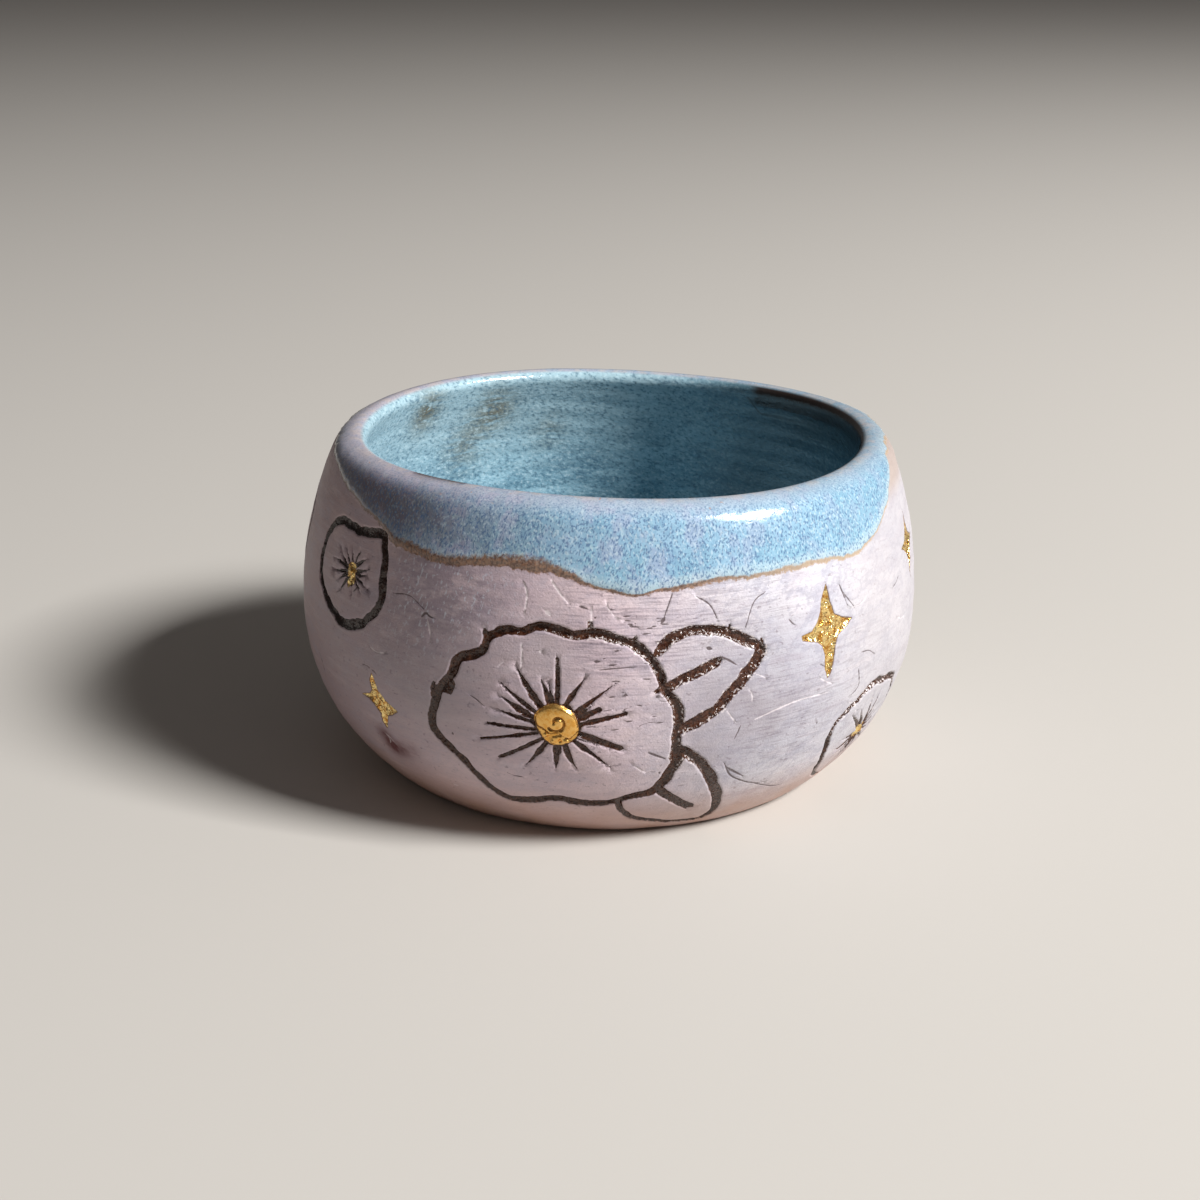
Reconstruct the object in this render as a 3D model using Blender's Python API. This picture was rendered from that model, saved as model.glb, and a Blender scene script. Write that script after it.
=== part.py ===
"""A low round stoneware cup with carved blossoms, leaves and four pointed stars.

Metres, +Z up. The origin is the middle of the flat underside, and -Y is the front of the cup.
A place on the wall is given in degrees to the right of the front, and as a share of the way up the wall.
The wall is measured along its curve, from the edge of the underside to the top of the lip.
"""

from math import atan2, ceil, cos, pi, radians, sin

import bmesh
import bpy
import numpy as np
from mathutils import Vector
from mathutils.geometry import delaunay_2d_cdt

MM = 0.001

# Turned form
HEIGHT = 55.5 * MM
BELLY_RADIUS = 52.5 * MM
BELLY_HEIGHT = 26.7 * MM
WALL = 4.8 * MM
FLOOR = 6.0 * MM
LIP_INSET = 5.0 * MM           # from the belly in to the outside of the lip
LIP_OUTER_ROUND = 4.5 * MM
LIP_INNER_ROUND = 1.5 * MM
FOOT_INSET = 11.0 * MM         # from the belly in to the outside of the bottom edge
FOOT_ROUND = 3.0 * MM
WELL_INSET = 3.7 * MM          # from the belly of the inner wall in to the rounded corner of the floor
WELL_ROUND = 14.0 * MM

# Hand made unevenness, all of it greatest at the rim
RIM_LEAN = 1.0 * MM            # the mouth sits this far to the right of the foot
RIM_DIP_RIGHT = 0.45 * MM
RIM_DIP_BACK = 0.6 * MM
RIM_WAVE = 0.4 * MM
RIM_WAVES = 3
RIM_WAVE_PEAK = 220            # degrees to the right of the front
SQUEEZE = 0.4 * MM             # the round is pressed in by this much at 45 degrees left of the front

# Carving
LINE_WIDTH = 1.6 * MM
LINE_DEPTH = 0.6 * MM
FINE_LINE_WIDTH = 1.2 * MM
RAY_DEPTH = 0.4 * MM
STAR_DEPTH = 0.6 * MM
STAR_ARM_WIDTH = 3.4 * MM
HEART_GROOVE = 0.5 * MM        # depth and width of the groove round a blossom's heart
LINE_FLOOR = 0.4               # flat share of a line's width

# Facets
SEGMENTS = 72
GRID_STEP = 4.6 * MM
CARVING_STEP = 2.6 * MM
CLEAR_OF_CARVING = 1.3 * MM    # plain points of the wall stay this far from the carving
NEAREST_POINTS = 0.12 * MM

CLAY_COLOUR = (0.46, 0.36, 0.40, 1.0)
CLAY_ROUGHNESS = 0.45


def tangent_arc(side_radius, side_height, round_x, round_z, round_radius):
    """Arc that stands upright at the side point and runs smoothly into a corner rounding.

    The radius of the rounding is negative where the two curves bend opposite ways.
    Returns centre x, centre z, radius and the angle at which the two meet.
    """
    across = round_x - side_radius
    along = round_z - side_height
    radius = (across**2 + along**2 - round_radius**2) / (-2 * (across + round_radius))
    centre_x = side_radius - radius
    return centre_x, side_height, radius, atan2(along, round_x - centre_x)


def outer_arcs():
    """Outer profile as (centre x, centre z, radius, start, end), from the underside's edge to the lip."""
    foot_x = BELLY_RADIUS - FOOT_INSET - FOOT_ROUND
    lip_x = BELLY_RADIUS - LIP_INSET - LIP_OUTER_ROUND
    lip_z = HEIGHT - LIP_OUTER_ROUND
    low_x, low_z, low_radius, low_angle = tangent_arc(
        BELLY_RADIUS, BELLY_HEIGHT, foot_x, FOOT_ROUND, FOOT_ROUND)
    top_x, top_z, top_radius, top_angle = tangent_arc(
        BELLY_RADIUS, BELLY_HEIGHT, lip_x, lip_z, LIP_OUTER_ROUND)
    return [(foot_x, FOOT_ROUND, FOOT_ROUND, -pi / 2, low_angle),
            (low_x, low_z, low_radius, low_angle, 0.0),
            (top_x, top_z, top_radius, 0.0, top_angle),
            (lip_x, lip_z, LIP_OUTER_ROUND, top_angle, pi / 2)]


def inner_arcs():
    """Inner profile from the top of the lip down to the flat of the floor, in the same form."""
    side = BELLY_RADIUS - WALL
    lip_x = BELLY_RADIUS - LIP_INSET - LIP_OUTER_ROUND
    lip_z = HEIGHT - LIP_INNER_ROUND
    well_round = min(WELL_ROUND, BELLY_HEIGHT - FLOOR)
    well_x = side - WELL_INSET - well_round
    well_z = FLOOR + well_round
    top_x, top_z, top_radius, top_angle = tangent_arc(side, BELLY_HEIGHT, lip_x, lip_z, -LIP_INNER_ROUND)
    low_x, low_z, low_radius, low_angle = tangent_arc(side, BELLY_HEIGHT, well_x, well_z, well_round)
    return [(lip_x, lip_z, LIP_INNER_ROUND, pi / 2, pi + top_angle),
            (top_x, top_z, top_radius, top_angle, 0.0),
            (low_x, low_z, low_radius, 0.0, low_angle),
            (well_x, well_z, well_round, low_angle, -pi / 2)]


OUTER_ARCS = outer_arcs()
ARC_LENGTHS = [radius * (end - start) for _, _, radius, start, end in OUTER_ARCS]
WALL_LENGTH = sum(ARC_LENGTHS)
CARVED_FROM = ARC_LENGTHS[0]
CARVED_TO = WALL_LENGTH - ARC_LENGTHS[-1]
ROUND_LENGTH = 2 * pi * BELLY_RADIUS


def wall_point(distance):
    """Radius, height and outward direction of the wall at each distance along its curve."""
    result = np.zeros((len(distance), 4))
    begin = 0.0
    for (centre_x, centre_z, radius, start, _), length in zip(OUTER_ARCS, ARC_LENGTHS):
        angle = start + np.clip(distance - begin, 0.0, length) / radius
        here = np.column_stack((centre_x + radius * np.cos(angle), centre_z + radius * np.sin(angle),
                                np.cos(angle), np.sin(angle)))
        reached = (distance >= begin)[:, None]
        result = np.where(reached, here, result)
        begin += length
    return result


def uneven(radius, height, angle):
    """Points of a true turned form, moved to where the hand made cup has them. Angle 0 is the front."""
    across = radius * np.sin(angle)
    back = -radius * np.cos(angle)
    rise = (height / HEIGHT)**2
    squeeze = SQUEEZE / BELLY_RADIUS * np.sin(2 * angle)
    slope = -(RIM_DIP_RIGHT * across + RIM_DIP_BACK * back) / BELLY_RADIUS
    wave = RIM_WAVE * np.cos(RIM_WAVES * (angle - radians(RIM_WAVE_PEAK)))
    return np.column_stack((across * (1 + squeeze) + RIM_LEAN * rise,
                            back * (1 + squeeze),
                            height + rise * (slope + wave)))


# The drawing on the wall. The wall is rolled out flat: x runs right round the belly, y up the wall.
# A motif has one place on the wall, and its own points are hundredths of the wall's length from there.

def smooth_path(points, step, closed=False):
    """Smooth curve through the points, as points one step apart."""
    points = np.array(points, dtype=float)
    if closed:
        padded = np.vstack((points[-1], points, points[0], points[1]))
    else:
        padded = np.vstack((2 * points[0] - points[1], points, 2 * points[-1] - points[-2]))
    share = np.linspace(0.0, 1.0, 9)[:-1, None]
    fine = []
    for before, start, end, after in zip(padded, padded[1:], padded[2:], padded[3:]):
        fine.append(0.5 * (2 * start + (end - before) * share
                           + (2 * before - 5 * start + 4 * end - after) * share**2
                           + (3 * start - 3 * end + after - before) * share**3))
    fine = np.vstack(fine + [padded[-2]])
    travelled = np.concatenate(([0.0], np.cumsum(np.linalg.norm(np.diff(fine, axis=0), axis=1))))
    count = max(3, ceil(travelled[-1] / step))
    stops = np.linspace(0.0, travelled[-1], count + 1)
    path = np.column_stack([np.interp(stops, travelled, fine[:, axis]) for axis in (0, 1)])
    if closed:
        path[-1] = path[0]
    return path


def place(degrees_right, share_up):
    """A place on the wall as a point of the rolled out wall."""
    return np.array((radians(degrees_right) * BELLY_RADIUS, share_up * WALL_LENGTH))


def clock(angle):
    """Direction of a clock angle in degrees: 0 is up and 90 is right."""
    return np.array((sin(radians(angle)), cos(radians(angle))))


def line(centre, points, width, closed=False):
    """A carved line with a flat floor and sloping sides, through points in hundredths of the wall."""
    path = smooth_path(centre + np.array(points) / 100 * WALL_LENGTH, CARVING_STEP, closed)
    half = np.full(len(path), width / 2)
    if not closed:
        half[[0, -1]] *= 0.6
    return {"path": path, "half": half, "depth": LINE_DEPTH, "floor": LINE_FLOOR, "closed": closed}


def cut(start, end, start_width, middle_width, depth):
    """A short straight cut that narrows to a point at its end."""
    path = np.array([start + (end - start) * share for share in (0.0, 0.4, 1.0)])
    half = np.array((start_width, middle_width, 0.25 * middle_width)) / 2
    return {"path": path, "half": half, "depth": depth, "floor": 0.0, "closed": False}


def blossom_outline(centre, reaches, width):
    """A blossom's edge, from its reach at even steps round the clock."""
    turn = 360 / len(reaches)
    return line(centre, [clock(turn * index) * reach for index, reach in enumerate(reaches)], width, True)


def rays(centre, heart_radius, reaches):
    """Cuts that stand round a blossom's heart, as (clock angle, reach, width in mm)."""
    cuts = []
    for angle, reach, width in reaches:
        start = centre + clock(angle) * (heart_radius + HEART_GROOVE)
        end = centre + clock(angle) * reach / 100 * WALL_LENGTH
        cuts.append(cut(start, end, 0.8 * width * MM, width * MM, RAY_DEPTH))
    return cuts


def star(centre, arms):
    """A four pointed star, chip carved as four arms that narrow from its middle to their points."""
    return [cut(centre, centre + np.array(tip) / 100 * WALL_LENGTH, STAR_ARM_WIDTH, 0.65 * STAR_ARM_WIDTH,
                STAR_DEPTH) for tip in arms]


def heart(centre, radius):
    """A blossom's heart: a low button in a narrow groove."""
    return {"centre": centre, "radius": radius}


def even_blossom(degrees_right, share_up, reach, petals, ray_count, heart_radius):
    """A plainer blossom for the side that does not show, with even petals and rays."""
    centre = place(degrees_right, share_up)
    steps = 24
    edge = [reach * (1 + 0.07 * cos(petals * 2 * pi * step / steps) + 0.05 * sin(2 * pi * step / steps))
            for step in range(steps)]
    even = [(360 * index / ray_count, reach * (0.42 if index % 2 else 0.55), 0.9)
            for index in range(ray_count)]
    return [blossom_outline(centre, edge, LINE_WIDTH)] + rays(centre, heart_radius, even), \
        [heart(centre, heart_radius)]


FRONT_BLOSSOM_EDGE = (22.9, 23.3, 25.3, 27.2, 27.8, 28.0, 28.9, 30.0, 31.4, 30.0, 27.8, 25.8,
                      23.5, 26.0, 29.8, 29.3, 28.7, 31.9, 31.4, 28.9, 27.6, 25.1, 25.1, 23.8)
FRONT_RAYS = ((1, 16.5, 0.8), (30, 14.5, 0.8), (52, 18.0, 0.8), (66, 11.5, 0.9), (78, 17.0, 0.8),
              (110, 16.8, 1.3), (131, 18.0, 0.9), (158, 13.6, 1.0), (181, 12.8, 1.1), (211, 15.0, 0.9),
              (231, 18.6, 0.8), (251, 20.2, 0.8), (264, 17.0, 0.8), (278, 14.8, 0.8), (292, 15.2, 1.4),
              (305, 16.2, 0.9), (325, 16.5, 1.2), (344, 11.8, 1.1))
LEFT_BLOSSOM_EDGE = (10.0, 10.8, 12.6, 15.5, 14.6, 13.8, 13.8, 14.4, 14.3, 13.5, 13.3, 13.2,
                     13.2, 13.7, 14.1, 14.9, 16.6, 18.0, 17.9, 17.3, 16.6, 14.4, 12.2, 10.7)
LEFT_RAYS = ((27, 6.6, 0.7), (54, 7.6, 0.9), (80, 7.2, 0.7), (108, 7.5, 0.7), (127, 6.8, 0.7),
             (165, 5.6, 0.6), (217, 8.5, 0.7), (239, 7.6, 0.7), (258, 9.6, 0.7), (276, 9.5, 0.7),
             (296, 7.6, 0.7), (319, 6.0, 0.7), (351, 5.4, 0.7))
RIGHT_BLOSSOM_EDGE = (15.9, 15.2, 15.8, 17.3, 17.0, 16.4, 16.0, 15.4, 15.8, 16.2, 16.4, 16.2,
                      16.0, 16.4, 16.6, 16.8, 16.6, 16.2, 16.3, 18.0, 18.7, 17.1, 16.3, 16.0)
RIGHT_RAYS = ((0, 9.6, 0.8), (22, 7.8, 0.8), (44, 8.6, 0.8), (72, 9.4, 0.8), (100, 8.4, 0.8),
              (130, 9.6, 0.8), (158, 8.4, 0.8), (199, 10.4, 0.8), (230, 7.8, 0.8), (271, 8.2, 0.8),
              (294, 9.0, 0.8), (313, 12.4, 0.8), (335, 10.5, 0.8))


def drawing():
    """Every carved line and cut, and every blossom heart."""
    front = place(-8.6, 0.449)
    left = place(-52.8, 0.711)
    right = place(55.7, 0.262)
    front_heart, left_heart, right_heart = 3.0 * MM, 1.3 * MM, 1.6 * MM
    strokes = [
        blossom_outline(front, FRONT_BLOSSOM_EDGE, LINE_WIDTH),
        line(front, ((23.2, 18.1), (27.3, 21.7), (32.9, 22.9), (39.5, 22.0), (45.6, 19.2), (49.6, 16.7)),
             LINE_WIDTH),
        line(front, ((49.6, 16.7), (46.4, 12.6), (42.7, 8.0), (38.5, 3.8), (33.1, 0.5), (29.3, -1.0)),
             LINE_WIDTH),
        line(front, ((26.2, 9.7), (29.5, 11.4), (37.8, 15.2)), LINE_WIDTH),
        line(front, ((29.8, -6.9), (33.2, -9.4), (36.8, -13.4), (40.0, -19.0), (43.0, -26.0),
                     (44.3, -33.3), (42.0, -38.1)), LINE_WIDTH),
        line(front, ((42.0, -38.1), (33.6, -37.6), (25.3, -35.0), (19.7, -32.3), (16.4, -27.7),
                     (15.4, -23.4)), FINE_LINE_WIDTH),
        line(front, ((26.0, -19.9), (30.0, -24.0), (35.7, -29.1)), FINE_LINE_WIDTH),
        blossom_outline(left, LEFT_BLOSSOM_EDGE, FINE_LINE_WIDTH),
        blossom_outline(right, RIGHT_BLOSSOM_EDGE, LINE_WIDTH),
    ]
    strokes += rays(front, front_heart, FRONT_RAYS)
    strokes += rays(left, left_heart, LEFT_RAYS)
    strokes += rays(right, right_heart, RIGHT_RAYS)
    strokes += star(place(39.6, 0.626), ((0.0, 11.0), (8.5, 0.6), (0.2, -12.4), (-8.3, -1.1)))
    strokes += star(place(-43.8, 0.405), ((-1.9, 7.4), (6.6, -0.5), (0.7, -7.2), (-6.5, 0.4)))
    strokes += star(place(71.5, 0.715), ((0.5, 9.0), (7.4, 0.5), (-0.5, -9.0), (-6.6, 0.4)))
    hearts = [heart(front, front_heart), heart(left, left_heart), heart(right, right_heart)]

    for blossom in ((-92.5, 0.69, 16.5, 5, 12, 1.5 * MM), (155.0, 0.47, 21.0, 6, 14, 2.4 * MM)):
        more_strokes, more_hearts = even_blossom(*blossom)
        strokes += more_strokes
        hearts += more_hearts
    strokes += star(place(-131.0, 0.44), ((0.4, 9.5), (7.2, 0.0), (0.0, -10.0), (-7.2, 0.3)))
    strokes += star(place(108.0, 0.60), ((-0.4, 10.0), (7.6, 0.4), (0.2, -10.6), (-7.4, -0.4)))
    return strokes, hearts


def side_line(stroke, share):
    """The stroke's path moved sideways by a share of its half width."""
    path = stroke["path"]
    if stroke["closed"]:
        along = np.roll(path[:-1], -1, axis=0) - np.roll(path[:-1], 1, axis=0)
        along = np.vstack((along, along[0]))
    else:
        along = np.gradient(path, axis=0)
    along /= np.linalg.norm(along, axis=1)[:, None]
    sideways = np.column_stack((-along[:, 1], along[:, 0]))
    return path + sideways * (stroke["half"] * share)[:, None]


def stroke_lines(stroke):
    """The creases of a carved stroke: its two edges, and its floor or its bottom crease."""
    left, right = side_line(stroke, 1.0), side_line(stroke, -1.0)
    if stroke["closed"]:
        creases = [left, right]
    else:
        path, half = stroke["path"], stroke["half"]
        first = path[0] - path[1]
        last = path[-1] - path[-2]
        begin_cap = path[0] + first / np.linalg.norm(first) * half[0]
        end_cap = path[-1] + last / np.linalg.norm(last) * half[-1]
        creases = [np.vstack((begin_cap, left, end_cap, right[::-1], begin_cap))]
    if stroke["floor"] > 0:
        creases += [side_line(stroke, stroke["floor"]), side_line(stroke, -stroke["floor"])]
    else:
        creases.append(stroke["path"])
    return creases


def heart_lines(button):
    """Rings of a blossom heart: the groove's outer edge, its bottom, and the shoulder of the button."""
    rings = []
    for radius, sides in ((button["radius"] + HEART_GROOVE, 16), (button["radius"], 16),
                          (0.6 * button["radius"], 10)):
        angles = np.linspace(0.0, 2 * pi, sides + 1)
        rings.append(button["centre"] + radius * np.column_stack((np.cos(angles), np.sin(angles))))
    rings.append(button["centre"][None, :])
    return rings


def distance_to_stroke(points, stroke):
    """Distance from each point to the stroke's path, and the half width of the stroke there."""
    nearest = np.full(len(points), np.inf)
    half = np.zeros(len(points))
    widths = stroke["half"]
    for index, (start, end) in enumerate(zip(stroke["path"], stroke["path"][1:])):
        along = end - start
        share = np.clip((points - start) @ along / (along @ along), 0.0, 1.0)
        distance = np.linalg.norm(points - start - share[:, None] * along, axis=1)
        closer = distance < nearest
        nearest = np.where(closer, distance, nearest)
        half = np.where(closer, widths[index] + (widths[index + 1] - widths[index]) * share, half)
    return nearest, half


def relief(points, strokes, hearts):
    """Height of the carved surface over the plain wall at each point, and how far the carving is."""
    height = np.zeros(len(points))
    clear = np.full(len(points), np.inf)
    for stroke in strokes:
        distance, half = distance_to_stroke(points, stroke)
        slope = np.clip((1 - distance / half) / (1 - stroke["floor"]), 0.0, 1.0)
        height = np.minimum(height, -stroke["depth"] * slope)
        clear = np.minimum(clear, distance - half)
    for button in hearts:
        distance = np.linalg.norm(points - button["centre"], axis=1)
        outside = (distance - button["radius"]) / HEART_GROOVE
        crown = np.sqrt(np.clip(1 - (distance / button["radius"])**2, 0.0, 1.0))
        inside_height = HEART_GROOVE * (1.6 * crown - 1)
        height = np.where(outside < 0, inside_height, np.where(outside < 1, HEART_GROOVE * (outside - 1),
                                                               height))
        clear = np.minimum(clear, distance - button["radius"] - HEART_GROOVE)
    return height, clear


def carved_wall(strokes, hearts):
    """Points and triangles of the rolled out wall, with an edge along every crease of the carving."""
    rows = ceil((CARVED_TO - CARVED_FROM) / GRID_STEP)
    across = np.linspace(-ROUND_LENGTH / 2, ROUND_LENGTH / 2, SEGMENTS + 1)
    upward = np.linspace(CARVED_FROM, CARVED_TO, rows + 1)
    grid = np.array([(x, y) for y in upward for x in across])
    on_border = (np.isin(grid[:, 0], across[[0, -1]])) | (np.isin(grid[:, 1], upward[[0, -1]]))
    _, clear = relief(grid, strokes, hearts)
    points = list(grid[on_border | (clear > CLEAR_OF_CARVING)])
    edges = []
    creases = [crease for stroke in strokes for crease in stroke_lines(stroke)]
    creases += [ring for button in hearts for ring in heart_lines(button)]
    for crease in creases:
        first = len(points)
        points.extend(crease)
        edges += [(first + index, first + index + 1) for index in range(len(crease) - 1)]
    flat, _, triangles, _, _, _ = delaunay_2d_cdt(
        [Vector(point) for point in points], edges, [], 0, NEAREST_POINTS, False)
    return np.array([tuple(point) for point in flat]), triangles


def ring_profile():
    """Plain rings below and above the carved wall: bottom edge, and lip, inner wall and floor."""
    def arc_points(arc, steps):
        centre_x, centre_z, radius, start, end = arc
        angles = np.linspace(start, end, steps + 1)
        return np.column_stack((centre_x + radius * np.cos(angles), centre_z + radius * np.sin(angles)))

    below = arc_points(OUTER_ARCS[0], 3)
    above = [arc_points(OUTER_ARCS[-1], 4)]
    for arc, steps in zip(inner_arcs(), (4, 6, 4, 4)):
        above.append(arc_points(arc, steps)[1:])
    floor_edge = above[-1][-1]
    above.append(np.array([floor_edge * (0.5, 1.0)]))
    return below, np.vstack(above)


def add_rings(mesh, profile, angles):
    """Bands of quads between the rings of a profile. Returns the first and the last ring of points."""
    rings = []
    for radius, height in profile:
        places = uneven(np.full(SEGMENTS, radius), np.full(SEGMENTS, height), angles)
        rings.append([mesh.verts.new(place) for place in places])
    for lower, upper in zip(rings, rings[1:]):
        for index in range(SEGMENTS):
            after = (index + 1) % SEGMENTS
            mesh.faces.new((lower[index], lower[after], upper[after], upper[index]))
    return rings[0], rings[-1]


def cup_mesh():
    strokes, hearts = drawing()
    flat, triangles = carved_wall(strokes, hearts)
    height, _ = relief(flat, strokes, hearts)
    profile = wall_point(flat[:, 1])
    radius = profile[:, 0] + height * profile[:, 2]
    level = profile[:, 1] + height * profile[:, 3]
    mesh = bmesh.new()
    wall = [mesh.verts.new(place) for place in uneven(radius, level, flat[:, 0] / BELLY_RADIUS)]
    for triangle in triangles:
        mesh.faces.new([wall[index] for index in triangle])

    angles = np.linspace(-pi, pi, SEGMENTS + 1)[:-1]
    below, above = ring_profile()
    underside, _ = add_rings(mesh, below, angles)
    _, floor_ring = add_rings(mesh, above, angles)
    mesh.faces.new(underside[::-1])
    middle = mesh.verts.new(uneven(np.zeros(1), np.full(1, FLOOR), np.zeros(1))[0])
    for index in range(SEGMENTS):
        mesh.faces.new((floor_ring[index], floor_ring[(index + 1) % SEGMENTS], middle))

    bmesh.ops.remove_doubles(mesh, verts=mesh.verts, dist=0.002 * MM)
    data = bpy.data.meshes.new("cup")
    mesh.to_mesh(data)
    mesh.free()
    data.shade_smooth()
    data.set_sharp_from_angle(angle=radians(35))
    return data


def clay():
    material = bpy.data.materials.new("stoneware")
    material.use_nodes = True
    shader = material.node_tree.nodes["Principled BSDF"]
    shader.inputs["Base Color"].default_value = CLAY_COLOUR
    shader.inputs["Roughness"].default_value = CLAY_ROUGHNESS
    shader.inputs["Metallic"].default_value = 0.0
    return material


def main():
    for thing in list(bpy.data.objects):
        bpy.data.objects.remove(thing, do_unlink=True)
    cup = bpy.data.objects.new("cup", cup_mesh())
    cup.data.materials.append(clay())
    bpy.context.scene.collection.objects.link(cup)


main()
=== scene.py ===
"""The finish of a low round stoneware cup: carved blossoms, leaves and gilded stars under a blue glazed rim.

The turned form and the places of the carving are those of the solid. All lengths are in millimetres until
the mesh is made. A place on the wall is given in degrees to the right of the front, and as a share of the
way up the wall, measured along its curve from the edge of the underside to the top of the lip.
"""

from math import atan2, ceil, cos, pi, radians, sin

import bpy
import numpy as np
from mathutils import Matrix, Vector
from mathutils.geometry import delaunay_2d_cdt


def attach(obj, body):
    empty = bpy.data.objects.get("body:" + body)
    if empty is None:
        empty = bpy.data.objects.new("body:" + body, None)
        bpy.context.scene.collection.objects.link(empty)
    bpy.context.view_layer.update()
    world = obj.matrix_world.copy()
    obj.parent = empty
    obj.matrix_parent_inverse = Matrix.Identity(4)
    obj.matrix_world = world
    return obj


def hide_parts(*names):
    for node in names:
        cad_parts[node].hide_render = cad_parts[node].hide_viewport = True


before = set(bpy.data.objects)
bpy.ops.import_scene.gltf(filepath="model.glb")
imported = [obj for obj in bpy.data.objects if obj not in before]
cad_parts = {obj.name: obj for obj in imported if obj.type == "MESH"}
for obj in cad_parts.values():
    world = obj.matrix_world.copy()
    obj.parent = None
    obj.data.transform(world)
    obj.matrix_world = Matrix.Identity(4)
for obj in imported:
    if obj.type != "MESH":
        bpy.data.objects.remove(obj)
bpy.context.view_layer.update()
MM = 0.001

# Turned form
HEIGHT = 55.5
BELLY_RADIUS = 52.5
BELLY_HEIGHT = 26.7
WALL = 4.8
FLOOR = 6.0
LIP_INSET = 5.0
LIP_OUTER_ROUND = 4.5
LIP_INNER_ROUND = 1.5
FOOT_INSET = 11.0
FOOT_ROUND = 3.0
WELL_INSET = 3.7
WELL_ROUND = 14.0
RIDGE_SPACING = 3.7           # throwing ridges inside
RIDGE_HEIGHT = 0.1

# Hand made unevenness, greatest at the rim
RIM_LEAN = 1.0
RIM_DIP_RIGHT = 0.45
RIM_DIP_BACK = 0.6
RIM_WAVE = 0.4
RIM_WAVES = 3
RIM_WAVE_PEAK = 220
SQUEEZE = 0.4

# Carving
LINE_WIDTH = 1.75
FINE_LINE_WIDTH = 1.45
LEFT_LINE_WIDTH = 1.7
RIGHT_LINE_WIDTH = 1.35
LINE_DEPTH = 0.6
LINE_FLOOR = 0.45             # flat share of a line's width
LINE_BURR = 0.08              # clay pushed up beside a line
RAY_DEPTH = 0.35
STAR_DEPTH = 0.45
HEART_DEPTH = 0.3
GOLD_LUMPS = 0.2
SCRATCH_DEPTH = 0.07

# Gilded button in the front blossom's heart
BUTTON_PLACE = (0.35, 0.6)    # from the middle of the blossom
BUTTON_RADIUS = 3.4
BUTTON_HEIGHT = 0.95
CURL_DEPTH = 0.42
CURL_WIDTH = 0.22

# Glaze
GLAZE_THICKNESS = 0.22
GLAZE_ROLL = 0.12             # the fatter edge that the glaze stopped at

# Mesh
COLUMNS = 330
ROW_STEP = 0.86
STROKE_STEP = 0.36
SCRATCH_STEP = 0.5
HEART_STEP = 0.2              # between points of the front heart
GOLD_STEP = 0.28              # between points of the other gilded patches
GLAZE_COLUMNS = 620           # along the edge of the glaze
NEAREST_POINTS = 0.17
EMPTY_CELL = 0.6              # plain points stay out of a cell this wide that holds other ones
REACH = 4.0                   # farthest distance that the colours follow
GLAZE_REACH = 12.0            # the same above the edge of the glaze

# Bake map, as shares of its width and height
WALL_STRIP = 0.385
WELL_WIDTH = 0.78
GUTTER = 0.008

chance = np.random.default_rng(23)


def tangent_arc(side_radius, side_height, round_x, round_z, round_radius):
    """Arc that stands upright at the side point and runs smoothly into a corner rounding."""
    across = round_x - side_radius
    along = round_z - side_height
    radius = (across**2 + along**2 - round_radius**2) / (-2 * (across + round_radius))
    centre_x = side_radius - radius
    return centre_x, side_height, radius, atan2(along, round_x - centre_x)


def outer_arcs():
    """Outer profile as (centre x, centre z, radius, start, end), from the underside's edge to the lip."""
    foot_x = BELLY_RADIUS - FOOT_INSET - FOOT_ROUND
    lip_x = BELLY_RADIUS - LIP_INSET - LIP_OUTER_ROUND
    lip_z = HEIGHT - LIP_OUTER_ROUND
    low_x, low_z, low_radius, low_angle = tangent_arc(
        BELLY_RADIUS, BELLY_HEIGHT, foot_x, FOOT_ROUND, FOOT_ROUND)
    top_x, top_z, top_radius, top_angle = tangent_arc(
        BELLY_RADIUS, BELLY_HEIGHT, lip_x, lip_z, LIP_OUTER_ROUND)
    return [(foot_x, FOOT_ROUND, FOOT_ROUND, -pi / 2, low_angle),
            (low_x, low_z, low_radius, low_angle, 0.0),
            (top_x, top_z, top_radius, 0.0, top_angle),
            (lip_x, lip_z, LIP_OUTER_ROUND, top_angle, pi / 2)]


def inner_arcs():
    """Inner profile from the top of the lip down to the flat of the floor, in the same form."""
    side = BELLY_RADIUS - WALL
    lip_x = BELLY_RADIUS - LIP_INSET - LIP_OUTER_ROUND
    lip_z = HEIGHT - LIP_INNER_ROUND
    well_x = side - WELL_INSET - WELL_ROUND
    well_z = FLOOR + WELL_ROUND
    top_x, top_z, top_radius, top_angle = tangent_arc(side, BELLY_HEIGHT, lip_x, lip_z, -LIP_INNER_ROUND)
    low_x, low_z, low_radius, low_angle = tangent_arc(side, BELLY_HEIGHT, well_x, well_z, WELL_ROUND)
    return [(lip_x, lip_z, LIP_INNER_ROUND, pi / 2, pi + top_angle),
            (top_x, top_z, top_radius, top_angle, 0.0),
            (low_x, low_z, low_radius, 0.0, low_angle),
            (well_x, well_z, WELL_ROUND, low_angle, -pi / 2)]


OUTER_ARCS = outer_arcs()
WALL_LENGTH = sum(radius * (end - start) for _, _, radius, start, end in OUTER_ARCS)
ROUND_LENGTH = 2 * pi * BELLY_RADIUS


def outer_wall(distance):
    """Radius, height and outward direction at each distance along the outer profile."""
    result = np.zeros((len(distance), 4))
    begin = 0.0
    for centre_x, centre_z, radius, start, end in OUTER_ARCS:
        length = radius * (end - start)
        angle = start + np.clip(distance - begin, 0.0, length) / radius
        here = np.column_stack((centre_x + radius * np.cos(angle), centre_z + radius * np.sin(angle),
                                np.cos(angle), np.sin(angle)))
        result = np.where((distance >= begin)[:, None], here, result)
        begin += length
    return result


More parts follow.
